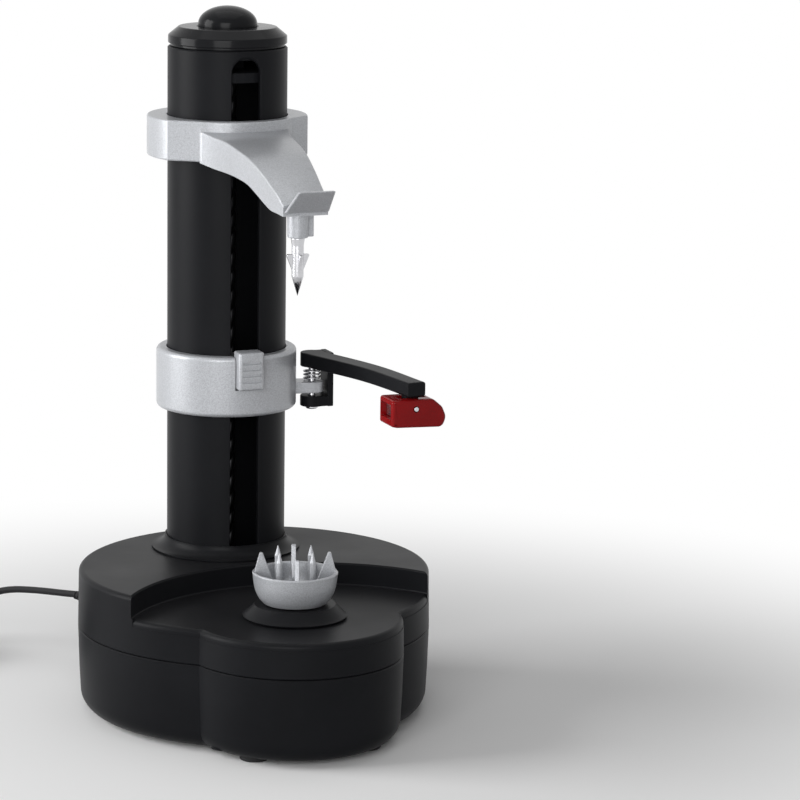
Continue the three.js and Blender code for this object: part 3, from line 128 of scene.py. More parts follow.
# Column
COLUMN_RADIUS = high("column_tube")[0]
COLUMN_WALL = 2.2
COLUMN_Y = high("column_tube")[1] - COLUMN_RADIUS
COLUMN_BOTTOM = low("column_tube")[2]
COLUMN_TOP = high("column_tube")[2]
SLOT_WIDTH = 12
SLOT_BOTTOM = HIGH_DECK + 5
SLOT_TOP = COLUMN_TOP - 3.2
FOOT_RING_RADIUS = high("column_foot_ring")[0]
FOOT_RING_TOP = high("column_foot_ring")[2]
CAP_RADIUS = high("column_cap")[0]
CAP_LOW = low("column_cap")[2]
CAP_BOTTOM = COLUMN_TOP + FIT
CAP_TOP = high("column_cap")[2]
CAP_RIM = CAP_TOP - 3.6
CAP_FLAT_RADIUS = 20.4
CAP_FLOOR = CAP_TOP - 5
DOME_RADIUS = high("power_button")[0]
DOME_TOP = high("power_button")[2]
DOME_LOW = low("power_button")[2]
DOME_SKIRT = 1.1
STEM_RADIUS = 3.2
SCREW_CREST = 4
SCREW_ROOT = 3
SCREW_LEAD = 24
SCREW_STARTS = 3

# Food holder
CUP_BOTTOM = low("food_cup")[2]
CUP_RIM = CUP_BOTTOM + 13.2
CUP_RIM_RADIUS = 17.4
CUP_BOTTOM_RADIUS = 13
CUP_WALL = 1.6
FIN_TOP = CUP_RIM + 8
SPIKE_TOP = high("food_cup")[2]
SPIKE_RING = 9.5
HOLDER_TURN = 0.156 * math.pi
SKIRT_BOTTOM = low("cup_skirt")[2]
SKIRT_TOP = high("cup_skirt")[2]
SKIRT_RADIUS = 21.3
SKIRT_TOP_RADIUS = 17
SPINDLE_RADIUS = 4

# Carriage, peeling arm and blade head
CARRIAGE_BOTTOM = low("carriage_collar")[2]
CARRIAGE_TOP = high("carriage_collar")[2]
CARRIAGE_RADIUS = 29.6
BORE = 25.4
LATCH_WIDTH = 11
LATCH_BOTTOM = low("carriage_latch")[2]
LATCH_TOP = high("carriage_latch")[2]
LATCH_REACH = 33.4
KEY_DEPTH = 2.1
KEY_WIDTH = SLOT_WIDTH - 4 * FIT
HINGE_X = 36
HINGE_Y = COLUMN_Y - 7.2
HINGE_RADIUS = 5
HINGE_HOLE = 1.8
EAR_BOTTOM = CARRIAGE_BOTTOM + 4.8
EAR_TOP = EAR_BOTTOM + 4.8
LUG_TOP = EAR_BOTTOM - 1.5
LUG_BOTTOM = LUG_TOP - 4.5
ARM_BOTTOM = EAR_TOP + 6.3
ARM_TOP = high("peel_arm")[2]
ARM_PATH = [(HINGE_X, HINGE_Y), (48, COLUMN_Y - 46), (53.5, COLUMN_Y - 84)]
ARM_WIDTH = 8
HEAD_WIDTH = 24
HEAD_DEPTH = 15
HEAD_BOTTOM = low("blade_head")[2]
HEAD_TOP = high("blade_head")[2]
HEAD_X = ARM_PATH[-1][0] + 1.5
HEAD_Y = centre("blade_head")[1]
HEAD_WALL = 2
LUG_DROP = 7.5
TILT_HEIGHT = centre("blade_pin")[2]
TILT_HOLE = 1.3

# Upper arm
UPPER_TOP = high("upper_arm")[2]
UPPER_BOTTOM = UPPER_TOP - 16.8
UPPER_RING_RADIUS = 33.6
UPPER_NECK_RADIUS = 29.7
AXIS_DISTANCE = COLUMN_Y - HOLDER_Y
ARCH_HALF_WIDTH = 21.5
ARCH_DROP = 28.6
ARCH_WALL = 2.4
LIP_BOTTOM = UPPER_BOTTOM - 10.9
LIP_TOP = LIP_BOTTOM + 10
BOSS_BOTTOM = LIP_BOTTOM - 11.3
RELEASE_MIDDLE = (UPPER_BOTTOM + UPPER_TOP) / 2
RELEASE_HEIGHT = 8.7
RELEASE_STEM = 1.8
SPIKE_HOLE = 2.3

# Power lead, with the route that the frame's solids follow
CORD_RADIUS = 1.5
PLUG_START = BASE_RADIUS + FIT
GRIP_END = PLUG_START + 17
RELIEF_END = GRIP_END + 12
COIL_X, COIL_Y = -122, 132
COIL_MEAN_RADIUS = 18
COIL_LOOPS = 12
COIL_LAYERS = 4
COIL_PITCH = 3.6
ADAPTER_X, ADAPTER_Y = -170, 152
ADAPTER_LENGTH = 44
ADAPTER_WIDTH = 30
ADAPTER_HEIGHT = 26

# Camera, fitted to the edges of the photograph: degrees, millimetres and pixels of an 800 wide picture
CAMERA_AZIMUTH = -21.5
CAMERA_ELEVATION = 11.35
CAMERA_ROLL = 0.79
CAMERA_DISTANCE = 1500
CAMERA_ACROSS = 56.1
CAMERA_HEIGHT = 134.8
CAMERA_FOCUS_PX = 3643
PHOTO_WIDTH_PX = 800
CAMERA_CLIP_METRES = 0.05, 30

# Lamps: place, size and power in metres and watts; each faces the same point
LAMPS = {
    "key": ((-1.2, 0.3, 0.4), (0.8, 1.2), 20),
    "front": ((-0.7, -1.25, 0.5), (0.9, 0.9), 12),
    "top": ((0.1, 0.2, 1.5), (1.2, 1.2), 3),
}
LAMP_AIM = (0, 0, 0.14)


# Numbers to points

def unit(vectors):
    """Vectors divided by their own lengths."""
    return vectors / np.maximum(np.linalg.norm(vectors, axis=-1, keepdims=True), 1e-12)


def smooth(points, steps):
    """A Catmull-Rom curve: cubics whose slope at a point is half the step between its neighbours."""
    p = np.asarray(points, float)
    padded = np.concatenate([[2 * p[0] - p[1]], p, [2 * p[-1] - p[-2]]])
    a, b, c, d = padded[:-3, None], padded[1:-2, None], padded[2:-1, None], padded[3:, None]
    t = np.linspace(0, 1, steps, endpoint=False)[None, :, None]
    curve = (2 * b + (c - a) * t + (2 * a - 5 * b + 4 * c - d) * t**2 + (3 * b - a - 3 * c + d) * t**3) / 2
    return np.concatenate([curve.reshape(-1, p.shape[1]), p[-1:]])


def rounded(points, radii, closed=False, steps=5):
    """Corners become arcs: rational quadratic curves weighted by the sine of half the angle."""
    p = np.asarray(points, float)
    radius = np.broadcast_to(np.asarray(radii, float), len(p)).copy()
    if not closed:
        radius[[0, -1]] = 0
    to_last, to_next = np.roll(p, 1, 0) - p, np.roll(p, -1, 0) - p
    a, b = unit(to_last), unit(to_next)
    half = np.arccos(np.clip((a * b).sum(-1), -1, 1)) / 2
    most = 0.49 * np.minimum(np.linalg.norm(to_last, axis=1), np.linalg.norm(to_next, axis=1))
    reach = np.minimum(radius / np.maximum(np.tan(half), 1e-6), most)[:, None, None]
    t = np.linspace(0, 1, steps + 1)[None, :, None]
    weight = np.sin(half)[:, None, None]
    start, corner, end = p[:, None] + a[:, None] * reach, p[:, None], p[:, None] + b[:, None] * reach
    top = (1 - t) ** 2 * start + 2 * t * (1 - t) * weight * corner + t**2 * end
    arc = (top / ((1 - t) ** 2 + 2 * t * (1 - t) * weight + t**2)).reshape(-1, p.shape[1])
    kept = np.append(True, np.linalg.norm(np.diff(arc, axis=0), axis=1) > 1e-6)
    return arc[kept]


def circle_arc(x, y, radius, start, end, steps):
    """Points of a circle between two angles."""
    angle = np.linspace(start, end, steps + 1)
    return np.stack([x + radius * np.cos(angle), y + radius * np.sin(angle)], -1)


def inset(outline, distance):
    """An anticlockwise outline moved inwards, each point along the mean normal of its two sides."""
    side = unit(np.roll(outline, -1, 0) - outline)
    normal = np.stack([-side[:, 1], side[:, 0]], -1)
    mean = unit(normal + np.roll(normal, 1, 0))
    stretch = np.clip((mean * normal).sum(-1, keepdims=True), 0.5, 1)
    return outline + mean * distance / stretch


def turned(profile, x=0.0, y=0.0, sides=128):
    """A profile of radius and height turned about an upright line: each of its points runs round a circle."""
    radius, height = np.asarray(profile, float).T
    angle = np.linspace(0, TAU, sides, endpoint=False)
    across, along = radius[:, None] * np.cos(angle), radius[:, None] * np.sin(angle)
    return np.stack([x + across, y + along, np.broadcast_to(height[:, None], across.shape)], -1)


def edge_steps(bottom, top, bottom_edge, top_edge, steps=5):
    """Insets and heights up a wall whose lower and upper edges are quarter circles."""
    angle = np.linspace(0, QUARTER, steps + 1)
    lower = np.stack([bottom_edge * (1 - np.sin(angle)), bottom + bottom_edge * (1 - np.cos(angle))], -1)
    upper = np.stack([top_edge * (1 - np.cos(angle)), top - top_edge * (1 - np.sin(angle))], -1)
    return np.concatenate([lower, upper])


def prism(outline, bottom, top, bottom_edge=0.0, top_edge=0.0):
    """An upright extrusion of an anticlockwise outline, drawn in along quarter circles at its ends."""
    if bottom_edge == top_edge == 0:
        wall = np.array([[0, bottom], [0, top]], float)
    else:
        wall = edge_steps(bottom, top, bottom_edge, top_edge)
    rows = [np.column_stack([inset(outline, i), np.full(len(outline), z)]) for i, z in wall]
    return np.stack(rows)


def box_outline(width, depth, x=0.0, y=0.0, radius=0.0):
    """A rectangle round a point, with round corners."""
    w, d = width / 2, depth / 2
    corners = np.array([[x - w, y - d], [x + w, y - d], [x + w, y + d], [x - w, y + d]], float)
    return rounded(corners, radius, closed=True) if radius else corners


def along_y(grid, y=0.0):
    """An upright grid laid over, so that its own Y runs up and its height runs towards -Y."""
    return np.stack([grid[..., 0], y - grid[..., 2], grid[..., 1]], -1)


def spun(grid, turn, x=0.0, y=0.0):
    """A grid turned about an upright line through the origin and then moved."""
    c, s = math.cos(turn), math.sin(turn)
    return np.stack([x + c * grid[..., 0] - s * grid[..., 1], y + s * grid[..., 0] + c * grid[..., 1],
                     grid[..., 2]], -1)


def laid_along(grid, turn, y, height):
    """A turned shape whose own axis is laid level in the direction of turn, at a height."""
    return np.stack([grid[..., 2] * math.cos(turn) - grid[..., 0] * math.sin(turn),
                     y + grid[..., 2] * math.sin(turn) + grid[..., 0] * math.cos(turn),
                     height + grid[..., 1]], -1)


def tube(path, radius, sides=12, upright=(0, 0, 1)):
    """A round tube: at each point of the path a circle that stands square to the run."""
    run = unit(np.gradient(path, axis=0))
    across = unit(np.cross(run, np.asarray(upright, float)))
    up = np.cross(across, run)
    angle = np.linspace(0, TAU, sides, endpoint=False)[None, :, None]
    thick = np.broadcast_to(radius, len(path))[:, None, None]
    return path[:, None] + thick * (across[:, None] * np.cos(angle) + up[:, None] * np.sin(angle))


def base_outline(drawn_in):
    """Most of the body's circle and the lobe's arc, both drawn in: they meet where the two circles cross."""
    body, lobe = BASE_RADIUS - drawn_in, LOBE_RADIUS - drawn_in
    along = (body**2 - lobe**2 + LOBE_REACH**2) / (2 * LOBE_REACH)
    across = math.sqrt(body**2 - along**2)
    body_turn, lobe_turn = math.atan2(across, along), math.atan2(across, along - LOBE_REACH)
    round_body = circle_arc(0, BODY_Y, body, body_turn - QUARTER, 3 * QUARTER - body_turn, 200)
    round_lobe = circle_arc(0, HOLDER_Y, lobe, -QUARTER - lobe_turn, lobe_turn - QUARTER, 110)
    return np.concatenate([round_body, round_lobe[1:-1]])


def base_skin(profile):
    """The base's outline at each inset and height of a profile."""
    profile = np.asarray(profile, float)
    outlines = np.stack([base_outline(drawn_in) for drawn_in in profile[:, 0]])
    height = np.broadcast_to(profile[:, 1, None, None], (*outlines.shape[:2], 1))
    return np.concatenate([outlines, height], -1)


# Points to meshes

MERGE_DISTANCE = 2e-7
SHARP_ANGLE = 34.0


def mesh_object(name, grids, caps=True):
    """Grids of points in millimetres as one mesh: quads between neighbours and a face at each end."""
    vertices, faces, first = [], [], 0
    for grid in grids:
        rows, columns = grid.shape[:2]
        i, j = np.meshgrid(np.arange(rows - 1), np.arange(columns), indexing="ij")
        beside = (j + 1) % columns
        near, far = i * columns, (i + 1) * columns
        quads = np.stack([near + j, near + beside, far + beside, far + j], -1)
        faces += (first + quads.reshape(-1, 4)).tolist()
        if caps:
            faces.append((first + np.arange(columns)[::-1]).tolist())
            faces.append((first + (rows - 1) * columns + np.arange(columns)).tolist())
        vertices.append(grid.reshape(-1, 3) * MM)
        first += rows * columns
    mesh = bpy.data.meshes.new(name)
    mesh.from_pydata(np.concatenate(vertices).tolist(), [], faces)
    tidy = bmesh.new()
    tidy.from_mesh(mesh)
    bmesh.ops.remove_doubles(tidy, verts=tidy.verts, dist=MERGE_DISTANCE)
    bmesh.ops.dissolve_degenerate(tidy, edges=tidy.edges, dist=MERGE_DISTANCE / 2)
    bmesh.ops.recalc_face_normals(tidy, faces=tidy.faces)
    tidy.to_mesh(mesh)
    tidy.free()
    made = bpy.data.objects.new(name, mesh)
    bpy.context.scene.collection.objects.link(made)
    return made


def solid(grid, caps=True, name="part"):
    """One closed grid as an object."""
    return mesh_object(name, [grid], caps)


def combine(target, others, operation):
    """The target joined with or cut by other solids, one after another; these are used up."""
    for other in others:
        before = len(target.data.vertices)
        change = target.modifiers.new("change", "BOOLEAN")
        change.operation = operation
        change.solver = "MANIFOLD"
        change.object = other
        graph = bpy.context.evaluated_depsgraph_get()
        mesh = bpy.data.meshes.new_from_object(target.evaluated_get(graph))
        target.modifiers.clear()
        target.data = mesh
        if len(mesh.vertices) in (0, before):
            raise RuntimeError(f"{operation} of {other.name} changed nothing or left nothing")
        bpy.data.objects.remove(other)
    return target


def cut(target, *others):
    """The target without the others."""
    return combine(target, others, "DIFFERENCE")


def join(target, *others):
    """The target and the others as one solid."""
    return combine(target, others, "UNION")


def disc(radius, bottom, top, x=0.0, y=0.0, sides=48):
    """An upright cylinder."""
    return solid(turned([[radius, bottom], [radius, top]], x, y, sides))


def block(width, depth, bottom, top, x=0.0, y=0.0, radius=0.0, edge=0.0):
    """A box that stands on bottom round a point, with round upright corners and round ends."""
    return solid(prism(box_outline(width, depth, x, y, radius), bottom, top, edge, edge))


def finish_piece(piece, name, body, slot, replaces=(), look=None, weighted=False):
    """Names and smooths a piece, gives it its body and the finish named by look or slot, and hides the nodes
    it stands for.
    """
    piece.name = name
    piece.data.name = name
    piece.data.materials.clear()
    piece.data.materials.append(finish(look or slot))
    piece.data.polygons.foreach_set("use_smooth", np.ones(len(piece.data.polygons), bool))
    piece.data.set_sharp_from_angle(angle=math.radians(SHARP_ANGLE))
    if weighted:
        normals = piece.modifiers.new("even_normals", "WEIGHTED_NORMAL")
        normals.keep_sharp = True
    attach(piece, body)
    if replaces:
        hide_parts(*replaces)
    return piece


# Materials

def new_tree(material):
    """Empties a material's nodes and returns its tree and its shader."""
    material.use_nodes = True
    tree = material.node_tree
    tree.nodes.clear()
    shader = tree.nodes.new("ShaderNodeBsdfPrincipled")
    output = tree.nodes.new("ShaderNodeOutputMaterial")
    tree.links.new(shader.outputs["BSDF"], output.inputs["Surface"])
    return tree, shader


def add(tree, kind, inputs=None, **settings):
    """A node with its settings, whose inputs are values or other nodes' sockets."""
    made = tree.nodes.new(kind)
    for name, value in settings.items():
        setattr(made, name, value)
    for name, value in (inputs or {}).items():
        if isinstance(value, bpy.types.NodeSocket):
            tree.links.new(value, made.inputs[name])
        else:
            made.inputs[name].default_value = value
    return made


def spread(tree, value, low_value, high_value):
    """A value from 0 to 1 carried to a range."""
    ends = {"Value": value, "To Min": low_value, "To Max": high_value}
    return add(tree, "ShaderNodeMapRange", ends).outputs[0]


def masked(tree, value, start, end, **settings):
    """A mask that rises from 0 to 1 while a value goes from start to end."""
    ends = {"Value": value, "From Min": start, "From Max": end}
    return add(tree, "ShaderNodeMapRange", ends, **settings).outputs[0]


def worked_out(tree, operation, *values):
    """The result of a math node on numbers or other nodes' sockets."""
    return add(tree, "ShaderNodeMath", dict(enumerate(values)), operation=operation).outputs[0]


def noise(tree, place, scale, **inputs):
    """Noise from 0 to 1 at a place."""
    return add(tree, "ShaderNodeTexNoise", {"Vector": place, "Scale": scale, **inputs}).outputs[0]


def object_place(tree):
    """Where a point is on the object."""
    return add(tree, "ShaderNodeTexCoord").outputs["Object"]


def group(name, inputs, outputs):
    """A node group with number inputs and named outputs, and its two end nodes."""
    tree = bpy.data.node_groups.new(name, "ShaderNodeTree")
    for label, default in inputs.items():
        made = tree.interface.new_socket(label, in_out="INPUT", socket_type="NodeSocketFloat")
        made.default_value = default
    for label in outputs:
        tree.interface.new_socket(label, in_out="OUTPUT", socket_type="NodeSocketFloat")
    return tree, tree.nodes.new("NodeGroupInput"), tree.nodes.new("NodeGroupOutput")


def moulded_grain():
    """Fine moulded grain: small noise on larger noise as a height, and slow patches as a mask."""
    tree, given, result = group("moulded_grain", {"Fineness": 2200.0, "Patch": 22.0}, ("Height", "Patches"))
    place, fineness = object_place(tree), given.outputs["Fineness"]
    fine = noise(tree, place, fineness, Detail=3.0, Roughness=0.6)
    coarser = worked_out(tree, "MULTIPLY", fineness, 0.23)
    broad = noise(tree, place, coarser, Detail=2.0)
    patch = noise(tree, place, given.outputs["Patch"], Detail=4.0, Roughness=0.55)
    tree.links.new(worked_out(tree, "ADD", fine, broad), result.inputs["Height"])
    tree.links.new(masked(tree, patch, 0.32, 0.68), result.inputs["Patches"])
    return tree


def handling_marks():
    """Thin scattered scratches: narrow bands of two stretched noises, kept where a slow noise is high."""
    tree, given, result = group("handling_marks", {"Size": 60.0, "Amount": 0.5}, ("Marks",))
    place = object_place(tree)
    lines = []
    for turn, stretch in ((0.5, 9.0), (-0.9, 12.0)):
        aimed = add(tree, "ShaderNodeMapping", {"Vector": place, "Rotation": (turn, turn / 2, turn),
                                                "Scale": (1.0, stretch, 1.0)}).outputs[0]
        level = noise(tree, aimed, given.outputs["Size"], Detail=1.0)
        from_middle = worked_out(tree, "ABSOLUTE", worked_out(tree, "SUBTRACT", level, 0.5))
        band = {"Value": from_middle, "From Min": 0.0, "From Max": 0.006, "To Min": 1.0, "To Max": 0.0}
        lines.append(add(tree, "ShaderNodeMapRange", band).outputs[0])
    kept = masked(tree, noise(tree, place, 31.0, Detail=2.0), 0.52, 0.7)
    scattered = worked_out(tree, "MULTIPLY", worked_out(tree, "MAXIMUM", *lines), kept)
    tree.links.new(worked_out(tree, "MULTIPLY", scattered, given.outputs["Amount"]), result.inputs["Marks"])
    return tree


def dust_and_painted_top_light():
    """Dusting on what faces up, which also paints those tops lighter as painted top light: the upward part of
    the normal times a cloudy noise.
    """
    tree, given, result = group("dust_and_painted_top_light", {"Amount": 0.3}, ("Dust and top light",))
    coordinates = add(tree, "ShaderNodeTexCoord")
    upward = add(tree, "ShaderNodeSeparateXYZ", {0: coordinates.outputs["Normal"]}).outputs["Z"]
    facing = masked(tree, upward, 0.5, 1.0)
    cloud = noise(tree, coordinates.outputs["Object"], 40.0, Detail=8.0, Roughness=0.7)
    # the up-facing mask gives a dusting and also painted top light: tops come out lighter as if lit from
    # above
    dust_and_top_light_mask = worked_out(tree, "MULTIPLY", facing, cloud)
    tree.links.new(worked_out(tree, "MULTIPLY", dust_and_top_light_mask, given.outputs["Amount"]), result.inputs["Dust and top light"])
    return tree


def metal_flakes():
    """Flakes in paint: cells far smaller than a millimetre, each with a brightness of its own."""
    tree, given, result = group("metal_flakes", {"Fineness": 3800.0}, ("Flake",))
    inputs = {"Vector": object_place(tree), "Scale": given.outputs["Fineness"]}
    cells = add(tree, "ShaderNodeTexVoronoi", inputs)
    bright = add(tree, "ShaderNodeSeparateColor", {0: cells.outputs["Color"]}).outputs[0]
    tree.links.new(bright, result.inputs["Flake"])
    return tree


def brushed_lines():
    """Drawn metal: noise squeezed along Z into fine lines round the piece."""
    tree, given, result = group("brushed_lines", {"Fineness": 900.0}, ("Lines",))
    squeeze = {"Vector": object_place(tree), "Scale": (0.12, 0.12, 3.0)}
    squeezed = add(tree, "ShaderNodeMapping", squeeze).outputs[0]
    lines = noise(tree, squeezed, given.outputs["Fineness"], Detail=4.0)
    tree.links.new(lines, result.inputs["Lines"])
    return tree


GROUPS = {}


def placed(tree, maker, **values):
    """One of the shared groups, made on its first use, as a node with its own values."""
    if maker.__name__ not in GROUPS:
        GROUPS[maker.__name__] = maker()
    made = tree.nodes.new("ShaderNodeGroup")
    made.node_tree = GROUPS[maker.__name__]
    for name, value in values.items():
        made.inputs[name].default_value = value
    return made


def blended(tree, mask, first, second):
    """One colour over another where a mask is high."""
    mix = add(tree, "ShaderNodeMix", {"Factor": mask}, data_type="RGBA")
    mix.inputs["A"].default_value = (*first, 1)
    mix.inputs["B"].default_value = (*second, 1)
    return mix.outputs["Result"]


def covered(tree, mask, under, second):
    """A colour over what another node gives, where a mask is high."""
    mix = add(tree, "ShaderNodeMix", {"Factor": mask}, data_type="RGBA")
    tree.links.new(under, mix.inputs["A"])
    mix.inputs["B"].default_value = (*second, 1)
    return mix.outputs["Result"]


def bumped(tree, height, strength, distance_mm):
    """A bump from a height, its depth in millimetres."""
    inputs = {"Height": height, "Strength": strength, "Distance": distance_mm * MM}
    return add(tree, "ShaderNodeBump", inputs).outputs[0]


def scaled(color, share):
    """A colour made lighter or darker."""
    return tuple(min(1.0, c * share) for c in color)


def plastic(name, color, roughness, grain, depth_mm, dust_and_top_light=0.025, marks=0.3, coat=0.0, specular=0.07):
    """Moulded plastic: grain, slow patches of colour and gloss, faint scratches, and a little dusting on what
    faces up that is also painted top light.
    """
    material = bpy.data.materials.new(name)
    tree, shader = new_tree(material)
    texture = placed(tree, moulded_grain, Fineness=grain)
    scratches = placed(tree, handling_marks, Amount=marks).outputs["Marks"]
    dust_and_top_light_mask = placed(tree, dust_and_painted_top_light, Amount=dust_and_top_light).outputs["Dust and top light"]
    patches = texture.outputs["Patches"]
    body = blended(tree, patches, scaled(color, 0.86), scaled(color, 1.14))
    scratched = covered(tree, scratches, body, scaled(color, 1.9))
    # grey over what faces up: a dusting, and also painted light that makes the tops lighter
    dusted_and_top_lit = covered(tree, dust_and_top_light_mask, scratched, (0.32, 0.31, 0.3))
    gloss = spread(tree, patches, roughness - 0.035, roughness + 0.035)
    rougher = worked_out(tree, "ADD", gloss, dust_and_top_light_mask)
    tree.links.new(dusted_and_top_lit, shader.inputs["Base Color"])
    tree.links.new(rougher, shader.inputs["Roughness"])
    tree.links.new(bumped(tree, texture.outputs["Height"], 0.5, depth_mm), shader.inputs["Normal"])
    shader.inputs["Specular IOR Level"].default_value = specular
    shader.inputs["Coat Weight"].default_value = coat
    shader.inputs["Coat Roughness"].default_value = 0.08
    return material


def silver_paint(color):
    """Silver paint on plastic: flakes of many brightnesses under a satin coat."""
    material = bpy.data.materials.new("silver_paint")
    tree, shader = new_tree(material)
    flake = placed(tree, metal_flakes).outputs["Flake"]
    texture = placed(tree, moulded_grain, Fineness=1300.0)
    scratches = placed(tree, handling_marks, Amount=0.35).outputs["Marks"]
    body = blended(tree, flake, scaled(color, 0.82), scaled(color, 1.18))
    worn = covered(tree, scratches, body, scaled(color, 0.55))
    gloss = spread(tree, texture.outputs["Patches"], 0.33, 0.4)
    tree.links.new(worn, shader.inputs["Base Color"])
    tree.links.new(gloss, shader.inputs["Roughness"])
    tree.links.new(spread(tree, flake, 0.2, 0.36), shader.inputs["Metallic"])
    tree.links.new(bumped(tree, texture.outputs["Height"], 0.35, 0.02), shader.inputs["Normal"])
    shader.inputs["Coat Weight"].default_value = 0.15
    shader.inputs["Coat Roughness"].default_value = 0.22
    return material


def metal(name, color, roughness, fineness=900.0):
    """Bare metal: drawn lines, and patches of gloss from handling."""
    material = bpy.data.materials.new(name)
    tree, shader = new_tree(material)
    lines = placed(tree, brushed_lines, Fineness=fineness).outputs["Lines"]
    patches = placed(tree, moulded_grain, Fineness=1500.0).outputs["Patches"]
    body = blended(tree, lines, scaled(color, 0.88), scaled(color, 1.06))
    darker = covered(tree, spread(tree, patches, 0.0, 0.18), body, scaled(color, 0.62))
    tree.links.new(darker, shader.inputs["Base Color"])
    tree.links.new(spread(tree, patches, roughness - 0.05, roughness + 0.08), shader.inputs["Roughness"])
    tree.links.new(bumped(tree, lines, 0.4, 0.01), shader.inputs["Normal"])
    shader.inputs["Metallic"].default_value = 1.0
    return material


def board_green(color):
    """Printed board: green lacquer with a lighter grid of tracks."""
    material = bpy.data.materials.new("green_board")
    tree, shader = new_tree(material)
    inputs = {"Vector": object_place(tree), "Scale": 260.0, "Mortar Size": 0.06}
    tracks = add(tree, "ShaderNodeTexBrick", inputs)
    tracks.inputs["Color1"].default_value = (*color, 1)
    tracks.inputs["Color2"].default_value = (*scaled(color, 0.75), 1)
    tracks.inputs["Mortar"].default_value = (*scaled(color, 2.0), 1)
    grain = placed(tree, moulded_grain, Fineness=900.0)
    tree.links.new(tracks.outputs["Color"], shader.inputs["Base Color"])
    tree.links.new(spread(tree, grain.outputs["Patches"], 0.3, 0.45), shader.inputs["Roughness"])
    tree.links.new(bumped(tree, tracks.outputs["Fac"], 0.3, 0.03), shader.inputs["Normal"])
    return material


def cell_jacket(color):
    """A battery cell's printed sleeve: a plain band of copper colour at one end, without lettering."""
    material = bpy.data.materials.new("cell_jacket")
    tree, shader = new_tree(material)
    along = add(tree, "ShaderNodeSeparateXYZ", {0: object_place(tree)}).outputs["Y"]
    band = masked(tree, along, 0.0035, 0.0037)
    grain = placed(tree, moulded_grain, Fineness=1200.0)
    tree.links.new(blended(tree, band, color, (0.62, 0.32, 0.13)), shader.inputs["Base Color"])
    tree.links.new(spread(tree, grain.outputs["Patches"], 0.22, 0.34), shader.inputs["Roughness"])
    tree.links.new(bumped(tree, grain.outputs["Height"], 0.2, 0.01), shader.inputs["Normal"])
    shader.inputs["Metallic"].default_value = 0.4
    return material


MATERIALS = {}


def finish(name):
    """A finish by its name, made on its first use from the panel's colours."""
    if name not in MATERIALS:
        colors = bpy.context.scene.peeler_colors
        makers = {
            "black_satin": lambda: plastic("black_satin", tuple(colors.black), 0.4, 2200.0, 0.02),
            "black_gloss": lambda: plastic("black_gloss", tuple(colors.black), 0.22, 900.0, 0.006, coat=0.06),
            "inner_black": lambda: plastic("inner_black", tuple(colors.black), 0.55, 1500.0, 0.03),
            "silver_paint": lambda: silver_paint(tuple(colors.silver)),
            "red_gloss": lambda: plastic("red_gloss", tuple(colors.red), 0.24, 700.0, 0.006, dust_and_top_light=0.01,
                                         coat=0.1),
            "white_nylon": lambda: plastic("white_nylon", (0.8, 0.79, 0.74), 0.5, 1600.0, 0.02, dust_and_top_light=0.0),
            "steel": lambda: metal("steel", (0.6, 0.6, 0.62), 0.24),
            "oiled_steel": lambda: metal("oiled_steel", (0.08, 0.08, 0.085), 0.36),
            "spring_steel": lambda: metal("spring_steel", (0.52, 0.52, 0.54), 0.3, 2400.0),
            "brass": lambda: metal("brass", (0.7, 0.53, 0.27), 0.28),
            "rubber": lambda: plastic("rubber", (0.022, 0.022, 0.023), 0.75, 1700.0, 0.05, dust_and_top_light=0.35,
                                      specular=0.15),
            "cord_rubber": lambda: plastic("cord_rubber", (0.018, 0.018, 0.019), 0.5, 2600.0, 0.02, dust_and_top_light=0.1),
            "green_board": lambda: board_green((0.04, 0.16, 0.07)),
            "cell_jacket": lambda: cell_jacket((0.05, 0.055, 0.065)),
        }
        MATERIALS[name] = makers[name]()
    return MATERIALS[name]


# Base

def make_base_bottom(sizes):
    """The bottom shell: hollow, with a large lower round, posts, screw wells, bay and jack hole."""
    top = SEAM - FIT
    seam = sizes.seam_edge / MM
    angle = np.linspace(0, QUARTER, 13)
    lower = np.stack([BOTTOM_DRAFT + BOTTOM_ROUND * (1 - np.sin(angle)),
                      FOOT_TOP + BOTTOM_ROUND * (1 - np.cos(angle))], -1)
    wall = [[BOTTOM_DRAFT / 2, (FOOT_TOP + top) / 2], [0, top - seam], [seam, top]]
    shell = solid(base_skin(np.concatenate([lower, wall])))
    inner = solid(base_skin([[BOTTOM_ROUND + WALL / 2, FLOOR_TOP],
                             [BOTTOM_DRAFT + WALL, FLOOR_TOP + BOTTOM_ROUND - WALL], [WALL, SEAM + OVERRUN]]))
    cut(shell, inner)
    join(shell, *[disc(POST_RADIUS, FLOOR_TOP - OVERRUN, SEAM - FIT, x, y) for x, y in SCREW_PLACES])
    wells = [disc(WELL_RADIUS, FOOT_TOP - OVERRUN, SCREW_SEAT, x, y) for x, y in SCREW_PLACES]
    shafts = [disc(SCREW_HOLE, SCREW_SEAT - OVERRUN, SEAM + OVERRUN, x, y) for x, y in SCREW_PLACES]
    width, length = (BAY_HIGH - BAY_LOW)[:2] - 2 * BAY_WALL
    bay = block(width, length, FOOT_TOP - OVERRUN, FLOOR_TOP + OVERRUN, *centre("battery_holder")[:2])
    hole = turned([[JACK_HOLE, BASE_RADIUS - JACK_HOLE_DEPTH], [JACK_HOLE, BASE_RADIUS + OVERRUN]], sides=48)
    jack = solid(laid_along(hole, JACK_TURN, BODY_Y, JACK_HEIGHT))
    cut(shell, *wells, *shafts, bay, jack)
    finish_piece(shell, "base_shell_bottom", "base", "black_satin", ["base_bottom"], weighted=True)


def deck_skin(deck, edge, seam):
    """The housing's outer skin up to a deck: an edge at the seam, a drawn-in wall and a round top edge."""
    angle = np.linspace(0, QUARTER, 9)
    top = np.stack([DECK_DRAFT + edge * (1 - np.cos(angle)), deck - edge * (1 - np.sin(angle))], -1)
    return base_skin(np.concatenate([[[seam, SEAM], [0, SEAM + seam]], top]))


